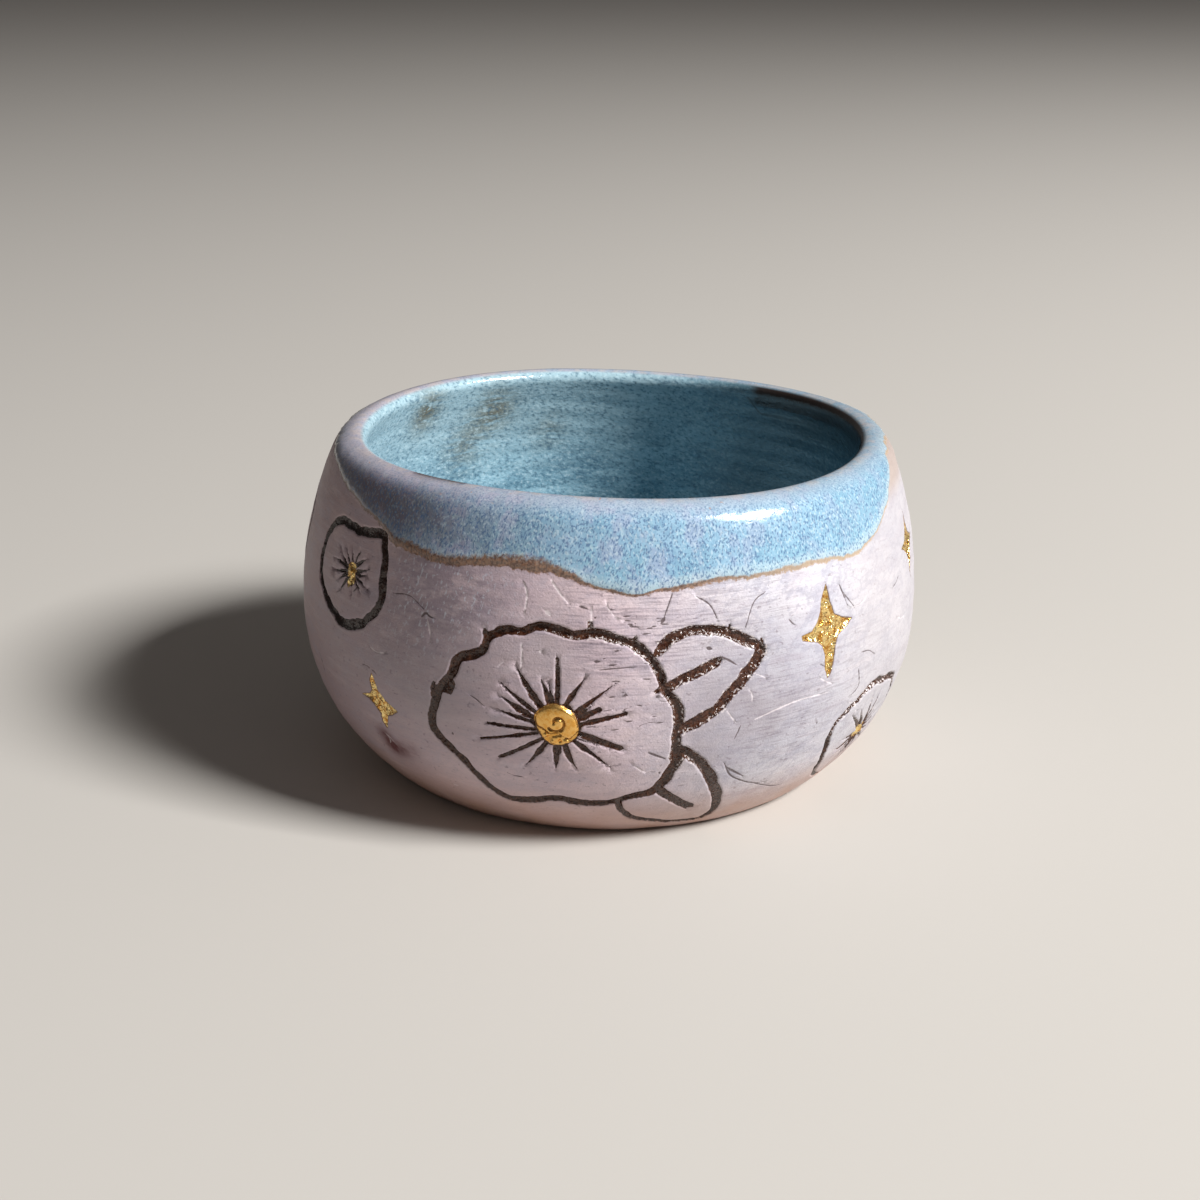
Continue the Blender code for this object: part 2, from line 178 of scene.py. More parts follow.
def uneven(radius, height, angle):
    """Points of a true turned form, moved to where the hand made cup has them. Angle 0 is the front."""
    across = radius * np.sin(angle)
    back = -radius * np.cos(angle)
    rise = (height / HEIGHT)**2
    squeeze = SQUEEZE / BELLY_RADIUS * np.sin(2 * angle)
    slope = -(RIM_DIP_RIGHT * across + RIM_DIP_BACK * back) / BELLY_RADIUS
    wave = RIM_WAVE * np.cos(RIM_WAVES * (angle - radians(RIM_WAVE_PEAK)))
    return np.column_stack((across * (1 + squeeze) + RIM_LEAN * rise,
                            back * (1 + squeeze),
                            height + rise * (slope + wave)))


def lumps(points, size, seed):
    """Soft random lumps between -1 and 1 in space, of about the given size."""
    cell = points / size
    corner = np.floor(cell).astype(np.int64)
    part = cell - corner
    part = part * part * (3 - 2 * part)
    total = np.zeros(len(points))
    for across in (0, 1):
        for along in (0, 1):
            for up in (0, 1):
                key = (corner[:, 0] + across) * 73856093 ^ (corner[:, 1] + along) * 19349663
                key = (key ^ (corner[:, 2] + up) * 83492791) + seed * 1274126177
                key = (key ^ (key >> 13)) * 1103515245 & 0x7FFFFFFF
                key = (key ^ (key >> 15)) * 12345701 & 0x7FFFFFFF
                weight = (part[:, 0] if across else 1 - part[:, 0])
                weight = weight * (part[:, 1] if along else 1 - part[:, 1])
                weight = weight * (part[:, 2] if up else 1 - part[:, 2])
                total += weight * (key / 0x3FFFFFFF - 1)
    return total


def wander(count, knots, closed=False):
    """A soft random run of numbers between -1 and 1."""
    values = chance.uniform(-1, 1, max(3, knots) + 1)
    if closed:
        values[-1] = values[0]
    return np.interp(np.linspace(0, 1, count), np.linspace(0, 1, len(values)), values)


# The drawing on the wall, rolled out flat: x runs right round the belly, y up the wall.

def place(degrees_right, share_up):
    return np.array((radians(degrees_right) * BELLY_RADIUS, share_up * WALL_LENGTH))


def clock(angle):
    """Direction of a clock angle in degrees: 0 is up and 90 is right."""
    return np.array((sin(radians(angle)), cos(radians(angle))))


def smooth_path(points, step, closed=False):
    """Smooth curve through the points, as points one step apart."""
    points = np.array(points, dtype=float)
    if closed:
        padded = np.vstack((points[-1], points, points[0], points[1]))
    else:
        padded = np.vstack((2 * points[0] - points[1], points, 2 * points[-1] - points[-2]))
    share = np.linspace(0.0, 1.0, 9)[:-1, None]
    fine = []
    for before, start, end, after in zip(padded, padded[1:], padded[2:], padded[3:]):
        fine.append(0.5 * (2 * start + (end - before) * share
                           + (2 * before - 5 * start + 4 * end - after) * share**2
                           + (3 * start - 3 * end + after - before) * share**3))
    fine = np.vstack(fine + [padded[-2]])
    travelled = np.concatenate(([0.0], np.cumsum(np.linalg.norm(np.diff(fine, axis=0), axis=1))))
    stops = np.linspace(0.0, travelled[-1], max(4, ceil(travelled[-1] / step)) + 1)
    path = np.column_stack([np.interp(stops, travelled, fine[:, axis]) for axis in (0, 1)])
    if closed:
        path[-1] = path[0]
    return path


def sideways(path, closed=False):
    """Unit direction to the left of the path at each of its points."""
    if closed:
        along = np.roll(path[:-1], -1, axis=0) - np.roll(path[:-1], 1, axis=0)
        along = np.vstack((along, along[0]))
    else:
        along = np.gradient(path, axis=0)
    along /= np.linalg.norm(along, axis=1)[:, None]
    return np.column_stack((-along[:, 1], along[:, 0]))


class Stroke:
    """One carved line or cut: its path, half its width along the path, its depth and what fills it."""

    def __init__(self, path, half, depth, floor, fill, rows):
        self.path, self.half, self.depth, self.floor, self.fill = path, half, depth, floor, fill
        self.rows = rows

    def points(self):
        """Points of the mesh along the stroke, in rows beside its path."""
        side = sideways(self.path)
        found = [self.path]
        for share, extra in self.rows:
            offset = (share * self.half + extra)[:, None] * side
            found += [self.path + offset, self.path - offset]
        return np.vstack(found)

    def measure(self, points):
        """Distance from each point to the path and half the width there. Far points get no distance."""
        distance = np.full(len(points), np.inf)
        half = np.ones(len(points))
        low, high = self.path.min(axis=0) - REACH, self.path.max(axis=0) + REACH
        near = np.flatnonzero(((points > low) & (points < high)).all(axis=1))
        best, best_half = distance[near], half[near]
        for index, (start, end) in enumerate(zip(self.path, self.path[1:])):
            along = end - start
            share = np.clip((points[near] - start) @ along / (along @ along), 0.0, 1.0)
            away = np.linalg.norm(points[near] - start - share[:, None] * along, axis=1)
            closer = away < best
            here = self.half[index] + (self.half[index + 1] - self.half[index]) * share
            best, best_half = np.where(closer, away, best), np.where(closer, here, best_half)
        distance[near], half[near] = best, best_half
        return distance, half


WIDE_ROWS = ((0.3, 0.0), (0.62, 0.0), (1.0, 0.0), (1.0, 0.3), (1.0, 0.75))
NARROW_ROWS = ((0.5, 0.0), (1.0, 0.0), (1.0, 0.3))


def carved_line(points, width, closed=False, taper=0.55, wavering=0.14, swell=0.0):
    """A line cut with a loop tool: even depth, wavering width and torn edges. A closed line may be wider at
    its top and finer at its bottom by the share that swell gives, or the other way round below zero."""
    path = smooth_path(points, STROKE_STEP, closed)
    count = len(path)
    path = path + sideways(path, closed) * (wavering * wander(count, count // 4, closed))[:, None]
    thickness = 1 + wavering * wander(count, count // 6, closed) + 0.1 * wander(count, count // 2, closed)
    half = width / 2 * thickness
    half *= 1 + swell * np.cos(np.linspace(0, 2 * pi, count) + radians(20))
    if closed:
        path[-1], half[-1] = path[0], half[0]
    else:
        half[[0, -1]] *= taper
    return Stroke(path, half, LINE_DEPTH, LINE_FLOOR, "dark", WIDE_ROWS)


def ray(start, end, width, blunt):
    """A short cut away from a blossom's heart, widest near its first third."""
    middle = 0.5 * (start + end) + chance.uniform(-0.15, 0.15, 2)
    path = smooth_path((start, middle, end), STROKE_STEP)
    share = np.linspace(0, 1, len(path))
    tip = 0.85 if blunt else 0.15
    half = width / 2 * np.interp(share, (0, 0.3, 0.7, 1), (1.0, 1.25, 0.6 + tip / 2, tip))
    half *= 1 + 0.2 * wander(len(path), len(path) // 2)
    return Stroke(path, half, RAY_DEPTH, 0.2, "dark", NARROW_ROWS)


def scratch(points, fill, width):
    """A fine mark, thinner towards its ends."""
    path = smooth_path(points, SCRATCH_STEP)
    half = width / 2 * np.interp(np.linspace(0, 1, len(path)), (0, 0.2, 0.7, 1), (0.5, 1, 0.8, 0.35))
    return Stroke(path, half, SCRATCH_DEPTH, 0.0, fill, ((1.0, 0.0), (1.0, 0.25)))


def round_the_clock(centre, reaches):
    turn = 360 / len(reaches)
    return [centre + clock(turn * index) * reach for index, reach in enumerate(reaches)]


class GoldPatch:
    """A gilded hollow with a closed outline on the rolled out wall."""

    def __init__(self, outline, depth, crown=0.0):
        self.outline = np.vstack((outline, outline[:1]))
        self.depth, self.crown = depth, crown

    def points(self, spacing=0.3):
        low, high = self.outline.min(axis=0) - 0.8, self.outline.max(axis=0) + 0.8
        grid = np.array([(x + spacing / 2 * (row % 2), y)
                         for row, y in enumerate(np.arange(low[1], high[1], 0.87 * spacing))
                         for x in np.arange(low[0], high[0], spacing)])
        gap = self.gap(grid)
        edge = []
        for start, end in zip(self.outline, self.outline[1:]):
            steps = max(1, round(np.linalg.norm(end - start) / spacing))
            edge += [start + (end - start) * step / steps for step in range(steps)]
        return np.vstack((edge, grid[(gap < 0.7) & (abs(gap) > 0.45 * spacing)]))

    def gap(self, points):
        """Distance outside the outline, or less than zero inside it."""
        distance = np.full(len(points), np.inf)
        inside = np.zeros(len(points), dtype=bool)
        for start, end in zip(self.outline, self.outline[1:]):
            along = end - start
            share = np.clip((points - start) @ along / (along @ along), 0.0, 1.0)
            distance = np.minimum(distance, np.linalg.norm(points - start - share[:, None] * along, axis=1))
            crosses = (start[1] > points[:, 1]) != (end[1] > points[:, 1])
            rise = end[1] - start[1] if end[1] != start[1] else 1e-9
            inside ^= crosses & (points[:, 0] < start[0] + (points[:, 1] - start[1]) * along[0] / rise)
        return np.where(inside, -distance, distance)


def star_outline(centre, tips, waist=0.1):
    """Four points joined by hollow sides."""
    tips = np.array(tips, dtype=float)
    outline = []
    for tip, after in zip(tips, np.roll(tips, -1, axis=0)):
        hollow = (tip + after) * waist
        for share in np.linspace(0, 1, 6)[:-1]:
            rest = 1 - share
            outline.append(centre + rest**2 * tip + 2 * share * rest * hollow + share**2 * after)
    return np.array(outline)


FRONT_EDGE = (14.6, 14.3, 15.4, 16.1, 17.1, 17.6, 17.7, 17.3, 18.4, 18.4, 18.6, 19.6,
              20.0, 20.0, 18.2, 17.7, 17.0, 15.9, 15.0, 15.7, 17.4, 19.0, 19.0, 18.4,
              18.3, 19.5, 21.1, 20.0, 19.0, 17.8, 17.6, 15.6, 16.4, 16.0, 15.0, 15.3)
LEFT_EDGE = (6.4, 6.9, 8.0, 9.9, 9.3, 8.8, 8.8, 9.2, 9.1, 8.6, 8.5, 8.4,
             8.4, 8.7, 9.0, 9.5, 10.6, 11.5, 11.4, 11.0, 10.6, 9.2, 7.8, 6.8)
RIGHT_EDGE = (10.1, 9.7, 10.1, 11.0, 10.8, 10.4, 10.2, 9.8, 10.1, 10.3, 10.4, 10.3,
              10.2, 10.4, 10.6, 10.7, 10.6, 10.3, 10.4, 11.5, 11.9, 10.9, 10.4, 10.2)

# Rays as clock angle at the heart, clock angle at the tip, reach, width, and 1 for a blunt tip
FRONT_RAYS = ((5, 1, 10.4, 0.75, 1), (348, 343, 7.4, 1.0, 0), (356, 351, 6.8, 0.5, 0),
              (322, 325, 10.4, 1.15, 0), (301, 305, 10.3, 0.75, 0), (284, 295, 9.6, 1.05, 0),
              (272, 280, 9.3, 0.75, 0), (252, 265, 10.8, 0.7, 1), (240, 252, 12.8, 0.65, 1),
              (219, 233, 11.8, 0.75, 1), (203, 212, 9.5, 0.9, 0), (174, 181, 8.1, 1.15, 0),
              (156, 158, 8.6, 1.0, 0), (132, 131, 11.4, 0.85, 0), (108, 110, 10.6, 1.2, 1),
              (124, 114, 9.1, 0.3, 0), (88, 78, 10.8, 0.8, 1), (70, 66, 7.3, 1.05, 1),
              (62, 58, 6.6, 0.6, 0), (53, 52, 11.4, 0.7, 0), (24, 30, 9.1, 0.8, 0))
LEFT_RAYS = ((288, 296, 4.8, 0.6, 0), (320, 319, 3.6, 0.5, 0), (3, 350, 3.2, 0.5, 0),
             (28, 27, 4.1, 0.6, 0), (48, 54, 4.8, 0.75, 0), (278, 276, 6.1, 0.6, 0),
             (256, 258, 6.2, 0.6, 0), (236, 240, 4.8, 0.55, 0), (212, 219, 5.3, 0.6, 0),
             (78, 74, 4.6, 0.6, 0), (96, 86, 4.4, 0.5, 0), (120, 126, 4.2, 0.6, 0),
             (112, 109, 5.2, 0.5, 0), (157, 165, 3.6, 0.5, 0))
RIGHT_RAYS = ((0, 357, 7.2, 0.9, 0), (308, 313, 7.9, 0.9, 0), (327, 328, 6.7, 0.9, 0),
              (20, 22, 7.4, 0.9, 0), (51, 44, 5.6, 0.8, 0), (75, 72, 6.0, 0.7, 0),
              (100, 98, 5.4, 0.7, 0), (130, 128, 6.1, 0.7, 0), (160, 172, 8.0, 0.8, 0),
              (186, 196, 9.0, 0.9, 0), (207, 212, 8.6, 0.8, 0), (226, 228, 7.6, 0.8, 0),
              (252, 250, 5.6, 1.0, 1), (275, 271, 5.3, 0.8, 0))

LEFT_STAR = ((-1.0, 4.9), (-0.3, 3.4), (0.2, 2.2), (1.7, 0.9), (4.2, -0.3), (2.8, -1.3), (1.5, -1.9),
             (0.4, -4.6), (-0.3, -3.5), (-0.2, -2.0), (-1.4, -0.6), (-2.7, 0.1), (-4.2, 0.3), (-2.2, 1.0),
             (-1.3, 1.9), (-1.6, 3.5))
RIGHT_STAR = ((0.0, 7.0), (0.5, 4.3), (1.4, 2.0), (3.2, 1.1), (5.4, 0.4), (4.1, -0.5), (2.0, -1.4),
              (1.3, -3.0), (1.1, -5.4), (0.6, -7.2), (0.0, -7.9), (-0.6, -6.3), (-0.7, -4.1), (-1.3, -2.4),
              (-2.4, -1.5), (-5.3, -0.7), (-5.5, 0.0), (-3.5, 0.3), (-2.3, 1.5), (-1.5, 3.2), (-1.2, 4.9))

# Lower edge of the glaze, as degrees right of the front and share of the way up the wall
GLAZE_EDGE = ((-75, 0.930), (-66, 0.905), (-58, 0.885), (-51, 0.862), (-45.3, 0.835), (-42, 0.810),
              (-38, 0.803), (-31, 0.796), (-25, 0.800), (-19, 0.812), (-12, 0.808), (-7, 0.796),
              (-2, 0.778), (3, 0.765), (7, 0.768), (12, 0.780), (18, 0.792), (26, 0.789), (34, 0.793),
              (40, 0.790), (45, 0.783), (50, 0.787), (55, 0.800), (60, 0.832), (64, 0.862), (67, 0.890),
              (70, 0.915), (73, 0.945), (80, 0.955), (96, 0.950), (118, 0.940), (140, 0.912),
              (160, 0.870), (180, 0.845), (200, 0.858), (220, 0.900), (242, 0.932), (264, 0.942),
              (285, 0.930))

# Width of the brown band at that edge, as degrees right of the front and millimetres
STAIN_WIDTH = ((-75, 0.3), (-50, 0.4), (-43, 1.2), (-38, 1.6), (-30, 1.2), (-20, 1.5), (-12, 1.9), (-8, 1.2),
               (-3, 0.4), (5, 0.3), (12, 0.5), (20, 0.4), (30, 0.6), (36, 0.8), (45, 0.5), (52, 0.3),
               (75, 0.4), (110, 1.2), (160, 0.8), (230, 1.4))

# Soft spots of colour on the wall, as degrees right of the front, share up, radius and strength. A share over
# 1 is inside the cup.
SOFT_SPOTS = {
    "smudge": ((-45.0, 0.30, 1.8, 0.8), (-43.5, 0.265, 2.0, 0.9), (-40.5, 0.275, 1.8, 0.6),
               (-37.5, 0.29, 1.5, 0.4)),
    "button": ((-8.6, 0.449, 9.0, 1.6),),
    "olive": ((-128, 1.09, 4.5, 1.0), (-150, 1.13, 5.0, 0.9), (-143, 1.24, 5.5, 0.6), (-165, 1.22, 4.0, 0.5),
              (60, 1.3, 8.0, 0.5)),
    "gap": tuple((angle, 1.003, 0.7, 0.9) for angle in np.arange(-45.0, -31.0, 0.5)),
    "dull": ((25.0, 0.52, 12.0, 1.0), (19.0, 0.42, 8.0, 0.9), (-10.0, 0.63, 7.0, 0.5),
             (-29.0, 0.53, 12.0, 0.8), (36.0, 0.42, 8.0, 0.6), (-52.0, 0.5, 16.0, 0.5),
             (120.0, 0.6, 12.0, 0.6), (-110.0, 0.3, 12.0, 0.5), (175.0, 0.72, 9.0, 0.6)),
    "grime": ((-36.0, 0.76, 5.0, 0.7), (-29.0, 0.75, 7.0, 0.9), (-22.0, 0.73, 6.0, 0.6),
              (-33.0, 0.65, 7.0, 0.5), (-42.0, 0.60, 9.0, 0.3), (150.0, 0.74, 9.0, 0.5),
              (-120.0, 0.80, 8.0, 0.5)),
    "rubbed": ((1.0, 0.62, 7.0, 1.0), (6.0, 0.72, 6.0, 1.0), (14.0, 0.72, 7.0, 0.9), (-4.0, 0.74, 6.0, 0.7),
               (24.0, 0.52, 9.0, 0.5), (32.0, 0.38, 9.0, 0.7), (28.0, 0.74, 7.0, 0.5), (46.0, 0.52, 9.0, 0.7),
               (95.0, 0.55, 12.0, 0.6), (-165.0, 0.6, 14.0, 0.6)),
}

FRONT_PLACE, LEFT_PLACE, RIGHT_PLACE = place(-8.6, 0.449), place(-52.8, 0.711), place(55.7, 0.262)
FRONT_HEART, LEFT_HEART, RIGHT_HEART = 3.15, 1.3, 1.6

# Plainer blossoms as degrees right, share up, reach, petals, rays and heart radius
HIDDEN_BLOSSOMS = ((-92.5, 0.69, 10.5, 5, 12, 1.5), (155.0, 0.47, 13.4, 6, 14, 2.4))

# Lines of the two leaves from the middle of the front blossom: width, taper, wavering and points
LEAF_LINES = (
    (0.95 * LINE_WIDTH, 0.8, 0.14, ((14.8, 11.5), (17.4, 13.8), (21.0, 14.6), (25.2, 14.0), (29.0, 12.2),
                                    (31.6, 10.6))),
    (1.1 * LINE_WIDTH, 0.55, 0.22, ((31.5, 10.6), (29.6, 8.0), (27.2, 5.1), (24.5, 2.4), (21.1, 0.3),
                                    (18.2, -0.7))),
    (LINE_WIDTH, 0.9, 0.2, ((16.4, 6.0), (18.8, 7.3), (24.3, 9.8))),
    (1.1 * LINE_WIDTH, 0.75, 0.14, ((19.0, -4.4), (21.2, -6.0), (23.5, -8.5), (25.5, -12.1), (27.4, -16.6),
                                    (28.2, -21.2), (26.8, -24.3))),
    (FINE_LINE_WIDTH, 0.55, 0.14, ((26.8, -24.3), (21.4, -24.0), (16.1, -22.3), (12.6, -20.6),
                                   (10.5, -17.7), (9.8, -14.9))),
    (1.1 * LINE_WIDTH, 0.95, 0.05, ((16.4, -12.6), (19.1, -15.3), (23.0, -18.7))))

# Slips of the tool beside those lines, as start, end and width
SPURS = (((-19.7, 1.2), (-19.9, 3.9), 1.2), ((-17.6, 3.6), (-16.7, 4.3), 2.0),
         ((-10.6, 12.2), (-11.4, 13.5), 1.0), ((4.9, 14.4), (4.9, 15.9), 0.9),
         ((10.9, 13.0), (11.8, 14.0), 0.8), ((18.6, -5.2), (18.7, -6.6), 2.2),
         ((31.4, 10.4), (31.4, 12.1), 0.9), ((15.6, 6.2), (14.9, 5.6), 0.8),
         ((26.0, 14.0), (26.2, 15.0), 0.5), ((23.2, 1.9), (23.9, 0.9), 0.6))

FRONT_HEART_EDGE = ((-3.2, 0.6), (-2.2, 2.5), (0.0, 3.4), (2.6, 2.2), (3.5, -0.2), (3.1, -2.0), (0.9, -3.4),
                    (-1.4, -2.9))

# Gold that ran down below the heart of the left blossom
GOLD_RUNS = (((-0.2, -0.8), (0.5, -1.0), (0.5, -2.1), (-0.2, -2.6), (-0.5, -2.0)),
             ((0.8, -0.6), (1.3, -0.9), (1.5, -1.7), (1.1, -1.9)))

# Even stars as degrees right, share up and their four tips
EVEN_STARS = ((71.5, 0.715, ((0.3, 5.7), (4.7, 0.3), (-0.3, -5.7), (-4.2, 0.3))),
              (-131.0, 0.44, ((0.3, 6.1), (4.6, 0.0), (0.0, -6.4), (-4.6, 0.2))),
              (108.0, 0.60, ((-0.3, 6.4), (4.8, 0.3), (0.1, -6.8), (-4.7, -0.3))))

# Scratches that show in the front, as width and places in degrees right and share up
PALE_MARKS = (
    (0.3, ((-14.8, 0.781), (-14.0, 0.752), (-14.3, 0.707))),
    (0.34, ((-10.1, 0.790), (-8.4, 0.761), (-7.1, 0.742))),
    (0.7, ((-10.7, 0.720), (-9.8, 0.711))),
    (0.26, ((-3.1, 0.735), (-3.0, 0.698))),
    (0.26, ((-32.1, 0.660), (-31.1, 0.619))),
    (0.3, ((-14.5, 0.641), (-14.3, 0.613), (-14.4, 0.580))),
    (0.55, ((-11.4, 0.627), (-11.0, 0.625))),
    (0.26, ((4.5, 0.342), (6.6, 0.315))),
    (0.26, ((19.7, 0.474), (21.5, 0.438))),
    (0.28, ((24.9, 0.440), (29.3, 0.457), (34.0, 0.465), (39.9, 0.461))))
DARK_MARKS = (
    (0.42, ((-33.4, 0.662), (-32.5, 0.674), (-31.7, 0.668), (-30.9, 0.666))),
    (0.2, ((-40.3, 0.699), (-36.4, 0.704), (-33.1, 0.681))),
    (0.34, ((-5.1, 0.736), (-3.6, 0.730))),
    (0.26, ((14.2, 0.758), (16.6, 0.735), (17.9, 0.697))),
    (0.2, ((10.4, 0.773), (9.6, 0.742), (8.5, 0.701))),
    (0.6, ((8.9, 0.712), (8.4, 0.700))),
    (0.2, ((26.8, 0.751), (24.4, 0.730), (22.5, 0.668))),
    (0.26, ((42.9, 0.725), (44.5, 0.668))),
    (0.2, ((43.5, 0.706), (46.7, 0.650))),
    (0.36, ((18.2, 0.613), (19.6, 0.602), (21.3, 0.585))),
    (0.6, ((16.0, 0.636), (16.8, 0.632))),
    (0.26, ((22.4, 0.430), (21.5, 0.393))),
    (0.26, ((47.8, 0.491), (48.4, 0.442), (46.7, 0.425))),
    (0.44, ((21.4, 0.304), (23.0, 0.285), (25.1, 0.262))),
    (0.32, ((20.5, 0.322), (22.6, 0.271), (27.5, 0.225), (30.9, 0.212))),
    (0.26, ((27.2, 0.230), (32.9, 0.184), (36.7, 0.170))),
    (0.44, ((6.9, 0.377), (9.8, 0.356))),
    (0.4, ((9.0, 0.314), (9.1, 0.309))),
    (0.4, ((38.4, 0.383), (38.5, 0.379))),
    (0.5, ((-27.3, 0.386), (-27.1, 0.382))),
    (0.2, ((-1.5, 0.591), (1.5, 0.596), (4.5, 0.599))),
    (0.44, ((-2.3, 0.611), (-1.5, 0.611))),
    (0.2, ((5.5, 0.570), (6.6, 0.569))),
    (0.36, ((-49.8, 0.687), (-50.4, 0.674), (-51.6, 0.662))))
RUBBED_MARKS = 46
STRAY_MARKS = 80


def blossom_rays(centre, heart_radius, table):
    return [ray(centre + clock(near) * (heart_radius + 0.1), centre + clock(far) * reach, width, blunt)
            for near, far, reach, width, blunt in table]


def round_heart(centre, radius, corners, knots, unevenness, crown):
    """A gilded heart of a blossom, nearly round."""
    reaches = radius * (1 + unevenness * wander(corners, knots, True))
    return GoldPatch(np.array(round_the_clock(centre, reaches)), HEART_DEPTH, crown)


def even_blossom(degrees_right, share_up, reach, petals, ray_count, heart_radius):
    """A plainer blossom for the side that does not show, with even petals and rays."""
    centre = place(degrees_right, share_up)
    steps = 24
    edge = [reach * (1 + 0.07 * cos(petals * 2 * pi * step / steps) + 0.05 * sin(2 * pi * step / steps))
            for step in range(steps)]
    table = [(angle, angle + 3, reach * (0.42 if index % 2 else 0.55), 0.85, index % 3 == 0)
             for index, angle in enumerate(np.arange(ray_count) * 360 / ray_count)]
    outline = carved_line(round_the_clock(centre, edge), LINE_WIDTH, True)
    heart = round_heart(centre, heart_radius, 12, 5, 0.15, 0.5)
    return [outline] + blossom_rays(centre, heart_radius, table), heart


def drawing():
    """Every carved stroke and every gilded patch, the front heart first."""
    front, left, right = FRONT_PLACE, LEFT_PLACE, RIGHT_PLACE
    strokes = [carved_line(round_the_clock(front, FRONT_EDGE), 0.95 * LINE_WIDTH, True, swell=-0.08)]
    strokes += [carved_line(front + points, width, False, taper, wavering)
                for width, taper, wavering, points in LEAF_LINES]
    strokes.append(carved_line(round_the_clock(left, LEFT_EDGE), LEFT_LINE_WIDTH, True, wavering=0.2))
    strokes.append(carved_line(round_the_clock(right, RIGHT_EDGE), RIGHT_LINE_WIDTH, True, wavering=0.2))
    strokes += [ray(front + start, front + end, width, True) for start, end, width in SPURS]
    strokes += blossom_rays(front, FRONT_HEART, FRONT_RAYS)
    strokes += blossom_rays(left, LEFT_HEART, LEFT_RAYS)
    strokes += blossom_rays(right, RIGHT_HEART, RIGHT_RAYS)

    gold = [GoldPatch(front + smooth_path(FRONT_HEART_EDGE, 0.3, True)[:-1], HEART_DEPTH),
            round_heart(left, LEFT_HEART, 24, 9, 0.06, 0.3),
            round_heart(right, RIGHT_HEART, 24, 9, 0.06, 0.4)]
    gold += [GoldPatch(left + run, 0.15) for run in GOLD_RUNS]
    gold += [GoldPatch(place(-43.8, 0.405) + LEFT_STAR, STAR_DEPTH),
             GoldPatch(place(39.6, 0.626) + RIGHT_STAR, STAR_DEPTH)]
    gold += [GoldPatch(star_outline(place(degrees_right, share_up), tips), STAR_DEPTH)
             for degrees_right, share_up, tips in EVEN_STARS]
    for blossom in HIDDEN_BLOSSOMS:
        more, hidden_heart = even_blossom(*blossom)
        strokes += more
        gold.append(hidden_heart)
    return strokes + scratches(), gold


def scratches():
    """Fine marks left by tools and handling, light ones pressed and dark ones filled with the line colour."""
    found = [scratch([place(*point) for point in points], fill, width)
             for fill, marks in (("pale", PALE_MARKS), ("dark", DARK_MARKS)) for width, points in marks]
    for _ in range(RUBBED_MARKS):
        start = place(chance.uniform(-4.0, 9.0), chance.uniform(0.44, 0.74))
        length, slope = chance.uniform(0.3, 1.3), chance.uniform(-0.15, 0.25)
        found.append(scratch((start, start + (length / 2, slope / 2), start + (length, slope)),
                             "dark", chance.uniform(0.14, 0.28)))
    for _ in range(STRAY_MARKS):
        start = place(chance.uniform(-178.0, 178.0), chance.uniform(0.12, 0.76))
        heading = clock(90 + chance.normal(0, 38)) * chance.uniform(0.8, 4.5)
        bend = chance.uniform(-0.4, 0.4, 2)
        found.append(scratch((start, start + heading / 2 + bend, start + heading),
                             "dark" if chance.random() < 0.45 else "pale", chance.uniform(0.14, 0.24)))
    return [stroke for stroke in found if abs(stroke.path[:, 0]).max() < ROUND_LENGTH / 2 - 1.5]


def glaze_edge(across):
    """Height of the glaze's lower edge on the rolled out wall."""
    angles, shares = np.array(GLAZE_EDGE).T
    turn = np.degrees(across / BELLY_RADIUS)
    smooth = np.interp(turn, angles, shares, period=360)
    return smooth * WALL_LENGTH


def smooth_step(value, low, high):
    share = np.clip((value - low) / (high - low), 0.0, 1.0)
    return share * share * (3 - 2 * share)


def wall_points(strokes, gold):
    """Points of the rolled out wall: borders, points along every stroke, patches, and plain rows between."""
    across = np.linspace(-ROUND_LENGTH / 2, ROUND_LENGTH / 2, COLUMNS + 1)
    upward = np.linspace(0.0, WALL_LENGTH, ceil(WALL_LENGTH / ROW_STEP) + 1)
    border = [(x, y) for y in (0.0, WALL_LENGTH) for x in across]
    border += [(x, y) for x in across[[0, -1]] for y in upward[1:-1]]
    cuts = [(x, y) for x in (-ROUND_LENGTH / 4, ROUND_LENGTH / 4) for y in np.arange(0.5, WALL_LENGTH, 0.8)]
    special = [np.array(border), np.array(cuts)]
    special += [patch.points(GOLD_STEP if index else HEART_STEP) for index, patch in enumerate(gold)]
    special += [stroke.points() for stroke in strokes]
    edge_x = np.linspace(-ROUND_LENGTH / 2, ROUND_LENGTH / 2, GLAZE_COLUMNS)[1:-1]
    for rise in (-0.55, -0.1, 0.35, 0.9):
        special.append(np.column_stack((edge_x, glaze_edge(edge_x) + rise)))
    special = np.vstack(special)
    shift = 0.5 * (across[1] - across[0])
    grid = np.array([(x + shift * (row % 2), y) for row, y in enumerate(upward[1:-1])
                     for x in across[:-1] + 0.25 * shift])

    def cells(points):
        return [tuple(cell) for cell in np.floor(points / EMPTY_CELL).astype(int)]

    beside = np.array((EMPTY_CELL / 2, 0.0))
    taken = {*cells(special), *cells(special + beside), *cells(special - beside)}
    free = [cell not in taken for cell in cells(grid)]
    points = np.vstack((special, grid[free]))
    _, first = np.unique(np.round(points / NEAREST_POINTS).astype(int), axis=0, return_index=True)
    keep = np.union1d(first, np.arange(len(border) + len(cuts)))
    points = points[keep]
    inside = (abs(points[:, 0]) <= ROUND_LENGTH / 2) & (points[:, 1] >= 0) & (points[:, 1] <= WALL_LENGTH)
    return points[inside]


